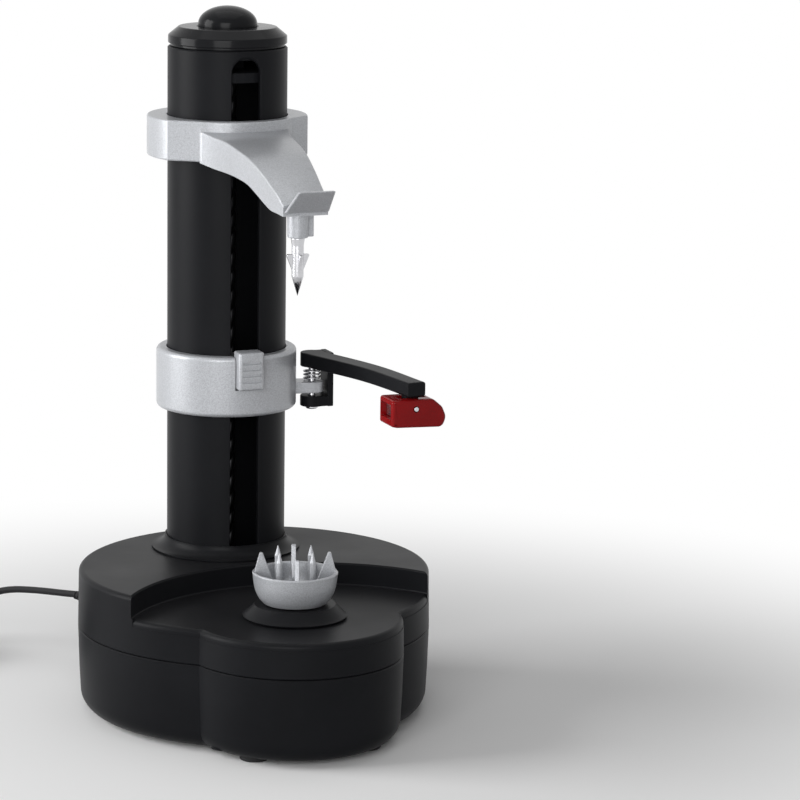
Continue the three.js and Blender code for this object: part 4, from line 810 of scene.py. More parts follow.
def make_housing(sizes):
    """The housing: the body up to the high deck, cut to the low deck inside the step's circle, and hollow."""
    edge, seam, bend = sizes.deck_edge / MM, sizes.seam_edge / MM, sizes.step_edge / MM
    shell = solid(deck_skin(HIGH_DECK, edge, seam))
    angle = np.linspace(0, QUARTER, 7)
    foot = np.stack([STEP_RADIUS - bend * (1 - np.sin(angle)), LOW_DECK + bend * (1 - np.cos(angle))], -1)
    lip = np.stack([STEP_RADIUS + bend * (1 - np.cos(angle)), HIGH_DECK - bend * (1 - np.sin(angle))], -1)
    wall = np.concatenate([[[STEP_RADIUS - bend, LOW_DECK - edge - OVERRUN]], foot, lip,
                           [[STEP_RADIUS + bend, HIGH_DECK + OVERRUN]]])
    cut(shell, solid(turned(wall, 0, STEP_Y, 420)))
    join(shell, solid(deck_skin(LOW_DECK, edge, seam)))
    hollow = solid(base_skin([[WALL, SEAM - OVERRUN], [WALL + DECK_DRAFT, HIGH_DECK - WALL]]))
    cut(hollow, disc(STEP_RADIUS + WALL, LOW_DECK - WALL, HIGH_DECK + OVERRUN, 0, STEP_Y, 180))
    cut(shell, hollow)
    tops = [HIGH_DECK, HIGH_DECK, LOW_DECK, LOW_DECK]
    posts = [disc(POST_RADIUS_ABOVE, SEAM, top - WALL / 2, x, y) for (x, y), top in zip(SCREW_PLACES, tops)]
    join(shell, *posts)
    holes = [disc(SCREW_HOLE, SEAM - OVERRUN, SCREW_TIP + FIT, x, y) for x, y in SCREW_PLACES]
    cut(shell, *holes, disc(COLUMN_RADIUS + FIT, SEAM, HIGH_DECK + OVERRUN, 0, COLUMN_Y, 128),
        disc(SPINDLE_HOLE, SEAM, HIGH_DECK, 0, HOLDER_Y))
    finish_piece(shell, "base_shell_housing", "base", "black_satin", ["base_housing"], weighted=True)


def make_feet():
    """Rubber feet: a turned pad with a round lower edge and a shallow ring in its face."""
    radius, dish, dish_edge, dish_depth = 6, 3.4, 3.8, 0.25
    corner, large_corner = 0.2, 0.8
    profile = rounded([[0, dish_depth], [dish, dish_depth], [dish_edge, 0], [radius, 0], [radius, FOOT_TOP],
                       [0, FOOT_TOP]], [0, corner, corner, large_corner, corner, 0])
    for node in FEET:
        pad = solid(turned(profile, *centre(node)[:2], 64), caps=False)
        finish_piece(pad, node.replace("foot", "rubber_foot"), "base", "rubber", [node])


def make_housing_screws():
    """Screws: a turned pan head and shank with a cross cut into the head."""
    head_radius, shank_radius = 3.2, 1.5
    crown, corner, tip_corner = 1.1, 0.2, 0.3
    cross_length, cross_width, cross_depth = 4, 0.9, 1.3
    head = SCREW_SEAT - SCREW_HEAD
    profile = rounded([[0, head], [head_radius, head], [head_radius, SCREW_SEAT], [shank_radius, SCREW_SEAT],
                       [shank_radius, SCREW_TIP - shank_radius], [0, SCREW_TIP]],
                      [0, crown, corner, corner, tip_corner, 0])
    for node, (x, y) in zip(SCREWS, SCREW_PLACES):
        screw = solid(turned(profile, x, y, 48), caps=False)
        cut(screw, *[block(width, depth, head - OVERRUN, head + cross_depth, x, y)
                     for width, depth in ((cross_length, cross_width), (cross_width, cross_length))])
        finish_piece(screw, node.replace("housing", "closing"), "base", "steel", [node])


def make_battery_door(sizes):
    """The door: a plate with round corners and three finger ribs cut into its face."""
    corner, grip_width, grip_depth, grip_round, grip_pitch, grip_place = 1.2, 1.6, 0.9, 0.7, 3.2, 8
    door_low, door_high = low("battery_door"), high("battery_door")
    width, length = (door_high - door_low)[:2]
    x, y = centre("battery_door")[:2]
    door = block(width, length, door_low[2], door_high[2], x, y, radius=corner, edge=sizes.seam_edge / MM)
    cut(door, *[block(width / 3, grip_width, door_low[2] - OVERRUN, door_low[2] + grip_depth, x,
                      door_low[1] + grip_place + grip_pitch * i, radius=grip_round) for i in (-1, 0, 1)])
    finish_piece(door, "bay_door", "battery_door", "black_satin", ["battery_door"])


def make_cells():
    """Cells: a turned sleeve with round shoulders and a nub, laid along Y, alternate ones turned round."""
    shoulder, nub_radius, nub_height, nub_foot, nub_edge = 0.6, 2.7, 1.2, 0.3, 0.4
    for i in range(4):
        node = f"battery_cell_{i + 1}"
        x, y, z = centre(node)
        radius, half = ((high(node) - low(node)) / 2)[:2]
        profile = rounded([[0, -half], [radius, -half], [radius, half - nub_height],
                           [nub_radius, half - nub_height], [nub_radius, half], [0, half]],
                          [0, shoulder, shoulder, nub_foot, nub_edge, 0])
        grid = turned(profile, sides=64)
        side = -1 if i % 2 else 1
        laid = np.stack([x + grid[..., 0], y + side * grid[..., 2], z + grid[..., 1]], -1)
        finish_piece(solid(laid, caps=False), f"cell_{i + 1}", "base", "cell_jacket", [node])


# Column

def make_column(sizes):
    """The tube: a turned ring, cut by a slot whose sides flare in a quarter circle at the skin."""
    inner, edge, outside = COLUMN_RADIUS - COLUMN_WALL, 0.5, 3
    ring = [[inner, COLUMN_BOTTOM], [COLUMN_RADIUS, COLUMN_BOTTOM], [COLUMN_RADIUS, COLUMN_TOP - edge],
            [COLUMN_RADIUS - edge, COLUMN_TOP], [inner, COLUMN_TOP], [inner, COLUMN_BOTTOM]]
    column = solid(turned(ring, 0, COLUMN_Y, 192), caps=False)
    lip = sizes.slot_lip / MM
    half = SLOT_WIDTH / 2
    skin = math.sqrt(COLUMN_RADIUS**2 - half**2)
    angle = np.linspace(0, QUARTER, 7)
    bend = np.stack([lip * (1 - np.sin(angle)), skin - lip * (1 - np.cos(angle))], -1)
    flare = np.concatenate([[[lip, COLUMN_RADIUS + outside]], bend, [[0, SCREW_CREST + WALL]]])
    rows = []
    for wider, lead in flare:
        top = circle_arc(0, SLOT_TOP - half, half + wider, 0, math.pi, 24)
        foot = np.array([[-half - wider, SLOT_BOTTOM - wider], [half + wider, SLOT_BOTTOM - wider]])
        outline = np.concatenate([top, foot])
        rows.append(np.column_stack([outline[:, 0], np.full(len(outline), COLUMN_Y - lead), outline[:, 1]]))
    cut(column, solid(np.stack(rows)))
    finish_piece(column, "column_skin", "base", "black_satin", ["column_tube"], weighted=True)


def make_foot_ring():
    """The flare at the column's foot: a quarter-round hollow from a thin lip up to the tube."""
    lip_height, top_width, edge = 0.8, 0.6, 0.3
    inner = COLUMN_RADIUS + FIT
    angle = np.linspace(0, QUARTER, 14)
    lip = HIGH_DECK + lip_height
    sweep = np.stack([FOOT_RING_RADIUS - (FOOT_RING_RADIUS - inner - top_width) * np.sin(angle),
                      FOOT_RING_TOP - (FOOT_RING_TOP - lip) * np.cos(angle)], -1)
    foot = [[inner, HIGH_DECK], [FOOT_RING_RADIUS - edge, HIGH_DECK], [FOOT_RING_RADIUS, HIGH_DECK + edge]]
    profile = np.concatenate([foot, sweep, [[inner, FOOT_RING_TOP], [inner, HIGH_DECK]]])
    ring = solid(turned(profile, 0, COLUMN_Y, 160), caps=False)
    finish_piece(ring, "column_flare", "base", "black_satin", ["column_foot_ring"])


def make_cap(sizes):
    """The cap: a band with a groove at its foot, a sloped shoulder, a flat top and a well for the button."""
    groove, groove_height, groove_corner = sizes.cap_groove / MM, 1.1, 0.2
    corner, rim_round, top_round = 0.3, 0.9, 1.2
    well_round, bevel, bevel_over = 0.5, 0.6, 0.1
    spigot = COLUMN_RADIUS - COLUMN_WALL - FIT
    groove_radius, groove_top = CAP_RADIUS - groove, CAP_BOTTOM + groove_height
    outer = rounded([[0, CAP_LOW], [spigot, CAP_LOW], [spigot, CAP_BOTTOM], [groove_radius, CAP_BOTTOM],
                     [groove_radius, groove_top], [CAP_RADIUS, groove_top], [CAP_RADIUS, CAP_RIM],
                     [CAP_FLAT_RADIUS, CAP_TOP], [0, CAP_TOP]],
                    [0, corner, 0, groove_corner, groove_corner, corner, rim_round, top_round, 0])
    cap = solid(turned(outer, 0, COLUMN_Y, 160), caps=False)
    hole = DOME_RADIUS + FIT
    well = rounded([[0, CAP_FLOOR], [hole, CAP_FLOOR], [hole, CAP_TOP + bevel_over - bevel],
                    [hole + bevel, CAP_TOP + bevel_over], [hole + bevel, CAP_TOP + OVERRUN],
                    [0, CAP_TOP + OVERRUN]], [0, well_round, 0, 0, 0, 0])
    cut(cap, disc(spigot - COLUMN_WALL, CAP_LOW - OVERRUN, CAP_FLOOR - WALL, 0, COLUMN_Y, 96),
        solid(turned(well, 0, COLUMN_Y, 120), caps=False),
        disc(STEM_RADIUS + FIT, CAP_LOW - OVERRUN, CAP_TOP, 0, COLUMN_Y))
    finish_piece(cap, "cap_skin", "base", "black_gloss", ["column_cap"], weighted=True)


def make_button():
    """The power button: a quarter ellipse turned to a dome over a straight skirt, hollow round its stem."""
    wall, travel_gap, corner, stem_corner = 2.5, 2.8, 0.3, 0.4
    shoulder = CAP_TOP + DOME_SKIRT
    angle = np.linspace(0, QUARTER, 28)
    dome = np.stack([DOME_RADIUS * np.cos(angle), shoulder + (DOME_TOP - shoulder) * np.sin(angle)], -1)
    dome[-1, 0] = 0
    hollow, foot = shoulder + (DOME_TOP - shoulder) / 3, CAP_FLOOR + travel_gap
    inner = rounded([[0, DOME_LOW], [STEM_RADIUS, DOME_LOW], [STEM_RADIUS, hollow],
                     [DOME_RADIUS - wall, hollow - OVERRUN], [DOME_RADIUS - wall, foot], [DOME_RADIUS, foot]],
                    [0, stem_corner, corner, corner, corner, corner])
    button = solid(turned(np.concatenate([inner, dome]), 0, COLUMN_Y, 128), caps=False)
    finish_piece(button, "button_dome", "power_button", "black_gloss", ["power_button"])


def make_lead_screw():
    """The lead screw: a section of three rounded starts that turns as it rises, between two journals."""
    journal, shoulder, crest_shape = 2.5, 1.5, 0.8
    bottom, top = COLUMN_BOTTOM + shoulder, low("screw_bearing_upper")[2] - FIT
    height = np.linspace(bottom, top, 480)[:, None]
    angle = np.linspace(0, TAU, 60, endpoint=False)[None, :]
    phase = SCREW_STARTS * (angle - TAU * (height - bottom) / SCREW_LEAD) / 2
    radius = SCREW_ROOT + (SCREW_CREST - SCREW_ROOT) * np.abs(np.cos(phase)) ** crest_shape
    thread = np.stack([radius * np.cos(angle), COLUMN_Y + radius * np.sin(angle),
                       np.broadcast_to(height, radius.shape)], -1)
    ends = ((low("lead_screw")[2], bottom), (top, high("lead_screw")[2]))
    journals = [turned([[journal, start], [journal, end]], 0, COLUMN_Y, 32) for start, end in ends]
    finish_piece(mesh_object("screw", [thread, *journals]), "screw_thread", "screw", "steel",
                 ["lead_screw"], look="oiled_steel")


# Food holder

def make_food_cup():
    """The cup: a turned bowl with a round lower edge, four radial fins past the rim, and four spikes."""
    floor = CUP_BOTTOM + 1.5 * CUP_WALL
    middle = (CUP_BOTTOM + CUP_RIM) / 2
    rim_corner, foot_corner = 0.4, 0.8
    outer = smooth([[CUP_BOTTOM_RADIUS, CUP_BOTTOM + 0.4], [15.1, CUP_BOTTOM + 3], [16.5, middle],
                    [CUP_RIM_RADIUS, CUP_RIM - 0.5]], 8)
    inside = smooth([[CUP_RIM_RADIUS - CUP_WALL, CUP_RIM - 0.4], [14.8, middle], [13.2, CUP_BOTTOM + 3.6],
                     [11, floor]], 8)
    rim = [[CUP_RIM_RADIUS - rim_corner, CUP_RIM], [CUP_RIM_RADIUS - CUP_WALL + rim_corner, CUP_RIM]]
    profile = np.concatenate([[[0, CUP_BOTTOM], [CUP_BOTTOM_RADIUS - foot_corner, CUP_BOTTOM]], outer, rim,
                              inside, [[0, floor]]])
    cup = solid(turned(profile, 0, HOLDER_Y, 144), caps=False)
    parts = []
    for i in range(4):
        turn = HOLDER_TURN + TAU * i / 4
        parts += [cup_fin(floor, turn + TAU / 8), cup_spike(floor, turn)]
    join(cup, *parts)
    finish_piece(cup, "cup_bowl", "food_holder", "silver_paint", ["food_cup"], weighted=True)


def cup_fin(floor, turn):
    """A radial fin of the cup: a plate from the floor up the wall to a point above the rim."""
    outside, half, edge = CUP_RIM_RADIUS - 0.9, 0.9, 0.25
    corner, inner_corner = 0.6, 1.2
    outline = rounded([[7.5, floor - CUP_WALL], [13.5, floor - CUP_WALL], [outside, CUP_RIM - 4],
                       [outside, CUP_RIM], [14.4, FIN_TOP], [13.2, FIN_TOP - 0.4], [8.5, CUP_RIM - 5]],
                      [0, 0, 0, corner, corner, corner, inner_corner], closed=True)
    return solid(spun(along_y(prism(outline, -half, half, edge, edge)), turn, 0, HOLDER_Y))


def cup_spike(floor, turn):
    """An upright spike in the cup, turned and pointed."""
    radius, point_radius, taper, bend = 1.3, 0.15, 4, 1.5
    profile = rounded([[0, floor - CUP_WALL], [radius, floor - CUP_WALL], [radius, SPIKE_TOP - taper],
                       [point_radius, SPIKE_TOP], [0, SPIKE_TOP]], [0, 0, bend, 0, 0])
    x, y = SPIKE_RING * math.cos(turn), HOLDER_Y + SPIKE_RING * math.sin(turn)
    return solid(turned(profile, x, y, 28), caps=False)


def make_cup_skirt():
    """The skirt under the cup: a hollow-sided cone turned from a thin foot up to a round shoulder."""
    foot, foot_edge, shoulder, sweep = 0.6, 0.3, 0.5, 0.8
    share = np.linspace(0, 1, 12)
    side = np.stack([SKIRT_RADIUS - (SKIRT_RADIUS - SKIRT_TOP_RADIUS) * share**sweep,
                     SKIRT_BOTTOM + foot + (SKIRT_TOP - SKIRT_BOTTOM - 2 * foot) * share], -1)
    inner = SPINDLE_RADIUS + FIT
    top = [[SKIRT_TOP_RADIUS - shoulder, SKIRT_TOP], [inner, SKIRT_TOP], [inner, SKIRT_BOTTOM]]
    profile = np.concatenate([[[inner, SKIRT_BOTTOM], [SKIRT_RADIUS - foot_edge, SKIRT_BOTTOM]], side, top])
    skirt = solid(turned(profile, 0, HOLDER_Y, 144), caps=False)
    finish_piece(skirt, "skirt_cone", "food_holder", "black_satin", ["cup_skirt"])


# Carriage and peeling arm

def key_block(bottom, top):
    """The key that runs in the column's slot."""
    inner = COLUMN_RADIUS - KEY_DEPTH
    depth = BORE - inner + OVERRUN
    return block(KEY_WIDTH, depth, bottom, top, 0, COLUMN_Y - (inner + depth / 2))


def make_collar(sizes):
    """The collar: a ring with full round edges, a window for the latch, the hinge's ear and a key."""
    edge, ear_edge = sizes.collar_edge / MM, 0.5
    outer = edge_steps(CARRIAGE_BOTTOM, CARRIAGE_TOP, edge, edge, 8) * [-1, 1] + [CARRIAGE_RADIUS, 0]
    ring = np.concatenate([[[BORE, CARRIAGE_BOTTOM]], outer, [[BORE, CARRIAGE_TOP], [BORE, CARRIAGE_BOTTOM]]])
    collar = solid(turned(ring, 0, COLUMN_Y, 160), caps=False)
    turn = math.atan2(HINGE_Y - COLUMN_Y, HINGE_X)
    near = circle_arc(BORE * math.cos(turn), COLUMN_Y + BORE * math.sin(turn), HINGE_RADIUS, turn + QUARTER,
                      turn + 3 * QUARTER, 16)
    far = circle_arc(HINGE_X, HINGE_Y, HINGE_RADIUS, turn - QUARTER, turn + QUARTER, 32)
    join(collar, solid(prism(np.concatenate([near, far]), EAR_BOTTOM, EAR_TOP, ear_edge, ear_edge)))
    cut(collar, disc(BORE, CARRIAGE_BOTTOM - OVERRUN, CARRIAGE_TOP + OVERRUN, 0, COLUMN_Y, 160),
        disc(HINGE_HOLE, EAR_BOTTOM - OVERRUN, EAR_TOP + OVERRUN, HINGE_X, HINGE_Y),
        block(LATCH_WIDTH + 2 * FIT, LATCH_REACH, LATCH_BOTTOM - RUNNING_GAP, LATCH_TOP + OVERRUN, 0,
              COLUMN_Y - LATCH_REACH))
    join(collar, key_block(CARRIAGE_BOTTOM + OVERRUN, LATCH_BOTTOM - 2 * OVERRUN))
    finish_piece(collar, "collar_ring", "carriage", "silver_paint", ["carriage_collar"], weighted=True)


def make_latch():
    """The latch: a ribbed button with round edges, on a stem whose end is hollowed round the screw."""
    corner, edge, stem_top = 1.2, 0.9, LATCH_BOTTOM + 11
    rib_start, rib_pitch, rib_height, rib_inset = 3.2, 2.6, 1.2, 1.5
    front, end = COLUMN_Y - BORE - OVERRUN, high("carriage_latch")[1]
    button = block(LATCH_WIDTH, LATCH_REACH - BORE, LATCH_BOTTOM, LATCH_TOP, 0,
                   COLUMN_Y - (LATCH_REACH + BORE) / 2, corner, edge)
    join(button, block(KEY_WIDTH, end - front, LATCH_BOTTOM, stem_top, 0, (end + front) / 2))
    starts = [LATCH_BOTTOM + rib_start + rib_pitch * i for i in range(4)]
    ribs = [block(LATCH_WIDTH - 2 * rib_inset, rib_height, start, start + rib_height, 0,
                  COLUMN_Y - LATCH_REACH) for start in starts]
    inner = SCREW_CREST + RUNNING_GAP
    cut(button, disc(inner, LATCH_BOTTOM - OVERRUN, LATCH_TOP + OVERRUN, 0, COLUMN_Y), *ribs)
    finish_piece(button, "latch_button", "carriage_latch", "silver_paint", ["carriage_latch"])


def tilt_hole(reach):
    """A cutter for the tilt pin's bore at the arm's tip."""
    bore = [[TILT_HOLE, -reach], [TILT_HOLE, reach]]
    return solid(along_y(turned(bore, ARM_PATH[-1][0], TILT_HEIGHT, 32), HEAD_Y))


def make_peel_arm():
    """The peeling arm: a curved bar that narrows to its tip, a fork at the hinge and a lug at the tip."""
    bar_edge, fork_edge, fork_corner, web = 0.9, 0.4, 0.6, 2.6
    inset_up, inset_across = 0.2, 0.4
    lug_width, lug_depth, lug_corner = 6, 5, 0.8
    middle = smooth(ARM_PATH, 24)
    run = unit(np.gradient(middle, axis=0))
    normal = np.stack([-run[:, 1], run[:, 0]], -1)
    half = ARM_WIDTH / 2 * (1 + (1 - np.linspace(0, 1, len(middle))) / 4)[:, None]
    outline = np.concatenate([middle - normal * half, (middle + normal * half)[::-1]])
    bar = solid(prism(outline, ARM_BOTTOM, ARM_TOP, bar_edge, bar_edge))
    fork_x = HINGE_X + HINGE_RADIUS + RUNNING_GAP + web / 2
    plates = ((LUG_BOTTOM, LUG_TOP), (ARM_BOTTOM, ARM_TOP))
    eye = circle_arc(HINGE_X, HINGE_Y, HINGE_RADIUS, 0, TAU, 48)[:-1]
    parts = [solid(prism(eye, bottom, top, fork_edge, fork_edge)) for bottom, top in plates]
    parts.append(block(web, 2 * HINGE_RADIUS, LUG_BOTTOM, ARM_TOP, fork_x, HINGE_Y, fork_corner, fork_edge))
    parts += [block(fork_x - HINGE_X, 2 * HINGE_RADIUS - inset_across, bottom + inset_up, top - inset_up,
                    (fork_x + HINGE_X) / 2, HINGE_Y) for bottom, top in plates]
    parts.append(block(lug_width, lug_depth, ARM_BOTTOM - LUG_DROP, ARM_BOTTOM + OVERRUN, ARM_PATH[-1][0],
                       HEAD_Y, lug_corner))
    join(bar, *parts)
    hinge = disc(HINGE_HOLE, LUG_BOTTOM - OVERRUN, ARM_TOP - OVERRUN, HINGE_X, HINGE_Y)
    cut(bar, hinge, tilt_hole(ARM_WIDTH))
    finish_piece(bar, "arm_bar", "peel_arm", "black_satin", ["peel_arm"], weighted=True)


def make_blade_head():
    """The blade head: a rounded wedge with a pocket for the arm's lug and a slot for the blade."""
    edge, pocket_width, pocket_depth, slot_reach = 1.3, 12, 6, 6.4
    half, height = HEAD_WIDTH / 2, HEAD_TOP - HEAD_BOTTOM
    shares = [[-1, 0.1], [-0.8, 0.05], [0.86, 0], [1, 0.35], [0.85, 0.7], [0.5, 1], [-1, 1]]
    corners = [[HEAD_X + half * across, HEAD_BOTTOM + height * up] for across, up in shares]
    outline = rounded(corners, [0.8, 1, 2.6, 4, 3.5, 4, 1.2], closed=True)
    head = solid(along_y(prism(outline, -HEAD_DEPTH / 2, HEAD_DEPTH / 2, edge, edge), HEAD_Y))
    pocket = block(pocket_width, pocket_depth, HEAD_TOP - LUG_DROP - HEAD_WALL, HEAD_TOP + OVERRUN,
                   ARM_PATH[-1][0], HEAD_Y)
    slot = block(slot_reach, HEAD_DEPTH - 2 * HEAD_WALL, HEAD_BOTTOM + 2 * HEAD_WALL, HEAD_TOP - HEAD_WALL,
                 HEAD_X - half, HEAD_Y)
    cut(head, pocket, tilt_hole(HEAD_DEPTH), slot)
    finish_piece(head, "head_shell", "blade_head", "red_gloss", ["blade_head"], weighted=True)


def make_blade():
    """The blade: a thin plate with ground edges."""
    corner, bevel = 0.2, 0.12
    width, depth = (high("blade") - low("blade"))[:2]
    blade = block(width, depth, low("blade")[2], high("blade")[2], *centre("blade")[:2], corner, bevel)
    finish_piece(blade, "blade_edge", "blade_head", "steel", ["blade"])


def make_pins():
    """The hinge pin with its head, and the blade pin, both turned with rounded ends."""
    head_radius, shank, tilt_radius = 2.6, 1.5, 1
    head_round, corner, tip_round, tilt_round = 0.7, 0.1, 0.3, 0.25
    bottom, top = low("arm_hinge_pin")[2], high("arm_hinge_pin")[2]
    head = LUG_BOTTOM - FIT
    profile = rounded([[0, bottom], [head_radius, bottom], [head_radius, head], [shank, head], [shank, top],
                       [0, top]], [0, head_round, corner, corner, tip_round, 0])
    hinge = solid(turned(profile, HINGE_X, HINGE_Y, 48), caps=False)
    finish_piece(hinge, "hinge_pin", "carriage", "steel", ["arm_hinge_pin"])
    half = (high("blade_pin")[1] - low("blade_pin")[1]) / 2
    profile = rounded([[0, -half], [tilt_radius, -half], [tilt_radius, half], [0, half]],
                      [0, tilt_round, tilt_round, 0])
    pin = along_y(turned(profile, ARM_PATH[-1][0], TILT_HEIGHT, 32), HEAD_Y)
    finish_piece(solid(pin, caps=False), "tilt_pin", "peel_arm", "steel", ["blade_pin"])


# Upper arm

# Shares at each station of the arch: its reach, its width, the fall of its top and that of its underside
ARCH_SHARES = np.array([
    [0.25, 0.9, 0.14, 0.6], [0.36, 0.78, 0.185, 0.64], [0.48, 0.7, 0.215, 0.655], [0.6, 0.663, 0.27, 0.67],
    [0.72, 0.605, 0.345, 0.72], [0.82, 0.558, 0.445, 0.825], [0.9, 0.523, 0.54, 0.92],
    [0.97, 0.495, 0.64, 0.985], [1.04, 0.47, 0.74, 1], [1.1, 0.44, 0.87, 1.02],
])
ARCH_CROWN = 0.9


def arch_skin(shares, thinner, edge):
    """The arch, thinner by a wall: at each station an upright section with a crowned top and round edges."""
    lead, width, fall, under = smooth(shares, 6).T
    half = width * ARCH_HALF_WIDTH - thinner
    top = UPPER_TOP - fall * ARCH_DROP - thinner
    bottom = np.full(len(lead), UPPER_BOTTOM - 2 * ARCH_DROP) if thinner else UPPER_TOP - under * ARCH_DROP
    turn = np.linspace(math.pi, QUARTER, 7)[None, :]
    left = np.stack([edge * (1 + np.cos(turn)) - half[:, None], top[:, None] - edge * (1 - np.sin(turn))], -1)
    across = np.linspace(-1, 1, 13)[None, 1:-1]
    crown = np.stack([across * (half[:, None] - edge), top[:, None] + ARCH_CROWN * (1 - across**2)], -1)
    right = left[:, ::-1] * [-1, 1]
    feet = np.stack([np.stack([half, bottom], -1), np.stack([-half, bottom], -1)], 1)
    section = np.concatenate([left, crown, right, feet], 1)
    y = np.broadcast_to((COLUMN_Y - lead * AXIS_DISTANCE)[:, None], section.shape[:2])
    return np.stack([section[..., 0], y, section[..., 1]], -1)


def thumb_lip():
    """The lip in front: an upright plate that leans forward and narrows as it rises."""
    width, thickness, corner, edge = 18.4, 2.6, 0.9, 0.6
    foot_lead, lean, taper = 97.7, 12, 0.17
    height = LIP_TOP - LIP_BOTTOM
    plate = prism(box_outline(width, thickness, 0, 0, corner), 0, height, edge, edge)
    share = plate[..., 2] / height
    lead = foot_lead + lean * share
    return solid(np.stack([plate[..., 0] * (1 - taper * share), COLUMN_Y - lead + plate[..., 1],
                           LIP_BOTTOM + plate[..., 2]], -1))


def level_pin(radius, outer, inner, sides=32):
    """A round bar behind the column, at the release's height, from one distance to another."""
    bar = turned([[radius, -outer], [radius, -inner]], 0, RELEASE_MIDDLE, sides)
    return solid(along_y(bar, COLUMN_Y))


def make_upper_arm(sizes):
    """The upper arm: a clamp ring with flat cheeks, a hollow arch, a leaning thumb lip and a ribbed boss."""
    edge, inner_edge = sizes.arm_edge / MM, 0.6
    shoulder, neck = math.pi * 0.36, math.pi * 0.26
    pocket_half, pocket_width, pocket_wall, past_ring = RELEASE_HEIGHT / 2 + FIT, 12.6, 2, 10
    outline = np.concatenate([
        circle_arc(0, COLUMN_Y, UPPER_RING_RADIUS, shoulder - QUARTER, 3 * QUARTER - shoulder, 120),
        circle_arc(0, COLUMN_Y, UPPER_NECK_RADIUS, 3 * QUARTER - neck, 3 * QUARTER + neck, 40),
    ])
    arm = solid(prism(outline, UPPER_BOTTOM, UPPER_TOP, edge, edge))
    boss = [[4.0, BOSS_BOTTOM], [4.2, BOSS_BOTTOM + 0.4], [4.4, LIP_BOTTOM + 2]]
    rib = block(6.4, 2.4, BOSS_BOTTOM + 0.2, LIP_BOTTOM + OVERRUN, 3.2, HOLDER_Y, 0.5, 0.3)
    arch = solid(arch_skin(ARCH_SHARES, 0.0, edge))
    join(arm, arch, thumb_lip(), solid(turned(boss, 0, HOLDER_Y, 64)), rib)
    cut(arm, solid(arch_skin(ARCH_SHARES[1:7], ARCH_WALL, inner_edge)),
        disc(BORE, BOSS_BOTTOM, UPPER_TOP + OVERRUN, 0, COLUMN_Y, 160),
        disc(SPIKE_HOLE, BOSS_BOTTOM - OVERRUN, LIP_BOTTOM - FIT, 0, HOLDER_Y),
        block(pocket_width, UPPER_RING_RADIUS, RELEASE_MIDDLE - pocket_half, RELEASE_MIDDLE + pocket_half, 0,
              COLUMN_Y + BORE + pocket_wall + UPPER_RING_RADIUS / 2),
        level_pin(RELEASE_STEM + FIT, UPPER_RING_RADIUS + past_ring, 0))
    join(arm, key_block(UPPER_BOTTOM, UPPER_TOP - OVERRUN))
    finish_piece(arm, "arm_arch", "upper_arm", "silver_paint", ["upper_arm"], weighted=True)


def make_release():
    """The release button in the ring's back: a rounded block, hollow for its spring, with its stem."""
    width, corner, outer_edge, inner_edge = 12, 1.2, 0.8, 0.1
    wall, hollow, front_wall = 2, 3.6, 1.2
    reach, back, stem_end = 35.4, BORE + 2 * wall + FIT, BORE + wall + FIT
    outline = box_outline(width, RELEASE_HEIGHT, 0, RELEASE_MIDDLE, corner)
    body = solid(along_y(prism(outline, -reach, -back, outer_edge, inner_edge), COLUMN_Y))
    cut(body, level_pin(hollow, reach - front_wall, back - OVERRUN, 40))
    join(body, level_pin(RELEASE_STEM, reach - OVERRUN, stem_end))
    finish_piece(body, "release_button", "arm_release", "black_satin", ["arm_release"])


def make_top_spike():
    """The upper spike: a turned shaft with a cone, a long point and two crossed fins above it."""
    point_radius, point_length, cone_radius, cone_height, cone_edge, shaft_radius = 2.4, 8, 2.8, 3, 0.3, 2
    fin_half, fin_foot, fin_top, fin_corner, fin_thin, fin_edge = 5, 5, 17, 0.6, 0.7, 0.2
    tip, cone, shaft = low("top_spike")[2], BOSS_BOTTOM - FIT, high("top_spike")[2]
    profile = rounded([[0, tip], [point_radius, tip + point_length], [point_radius, cone - cone_height],
                       [cone_radius, cone - cone_edge], [cone_radius, cone], [shaft_radius, cone],
                       [shaft_radius, shaft], [0, shaft]], [0, 1.2, 1, 0.2, 0, 0, 0.2, 0])
    spike = solid(turned(profile, 0, HOLDER_Y, 48), caps=False)
    fin = rounded([[-fin_half, tip + fin_top], [0, tip + fin_foot], [fin_half, tip + fin_top]], fin_corner,
                  closed=True)
    plate = along_y(prism(fin, -fin_thin, fin_thin, fin_edge, fin_edge))
    join(spike, *[solid(spun(plate, turn, 0, HOLDER_Y)) for turn in (0, QUARTER)])
    finish_piece(spike, "spike_point", "top_spike", "steel", ["top_spike"])


# Springs

def spring_path(radius, bottom, top, curls, wire=0.8):
    """A helix about +Z with flat ends: its height follows the turns, held back at both ends."""
    flat = 0.06
    share = np.linspace(0, 1, curls * 40 + 1)
    rise = np.clip((share - flat) / (1 - 2 * flat), 0, 1)
    angle = TAU * curls * share
    height = bottom + wire / 2 + (top - bottom - wire) * rise
    return np.stack([radius * np.cos(angle), radius * np.sin(angle), height], -1)


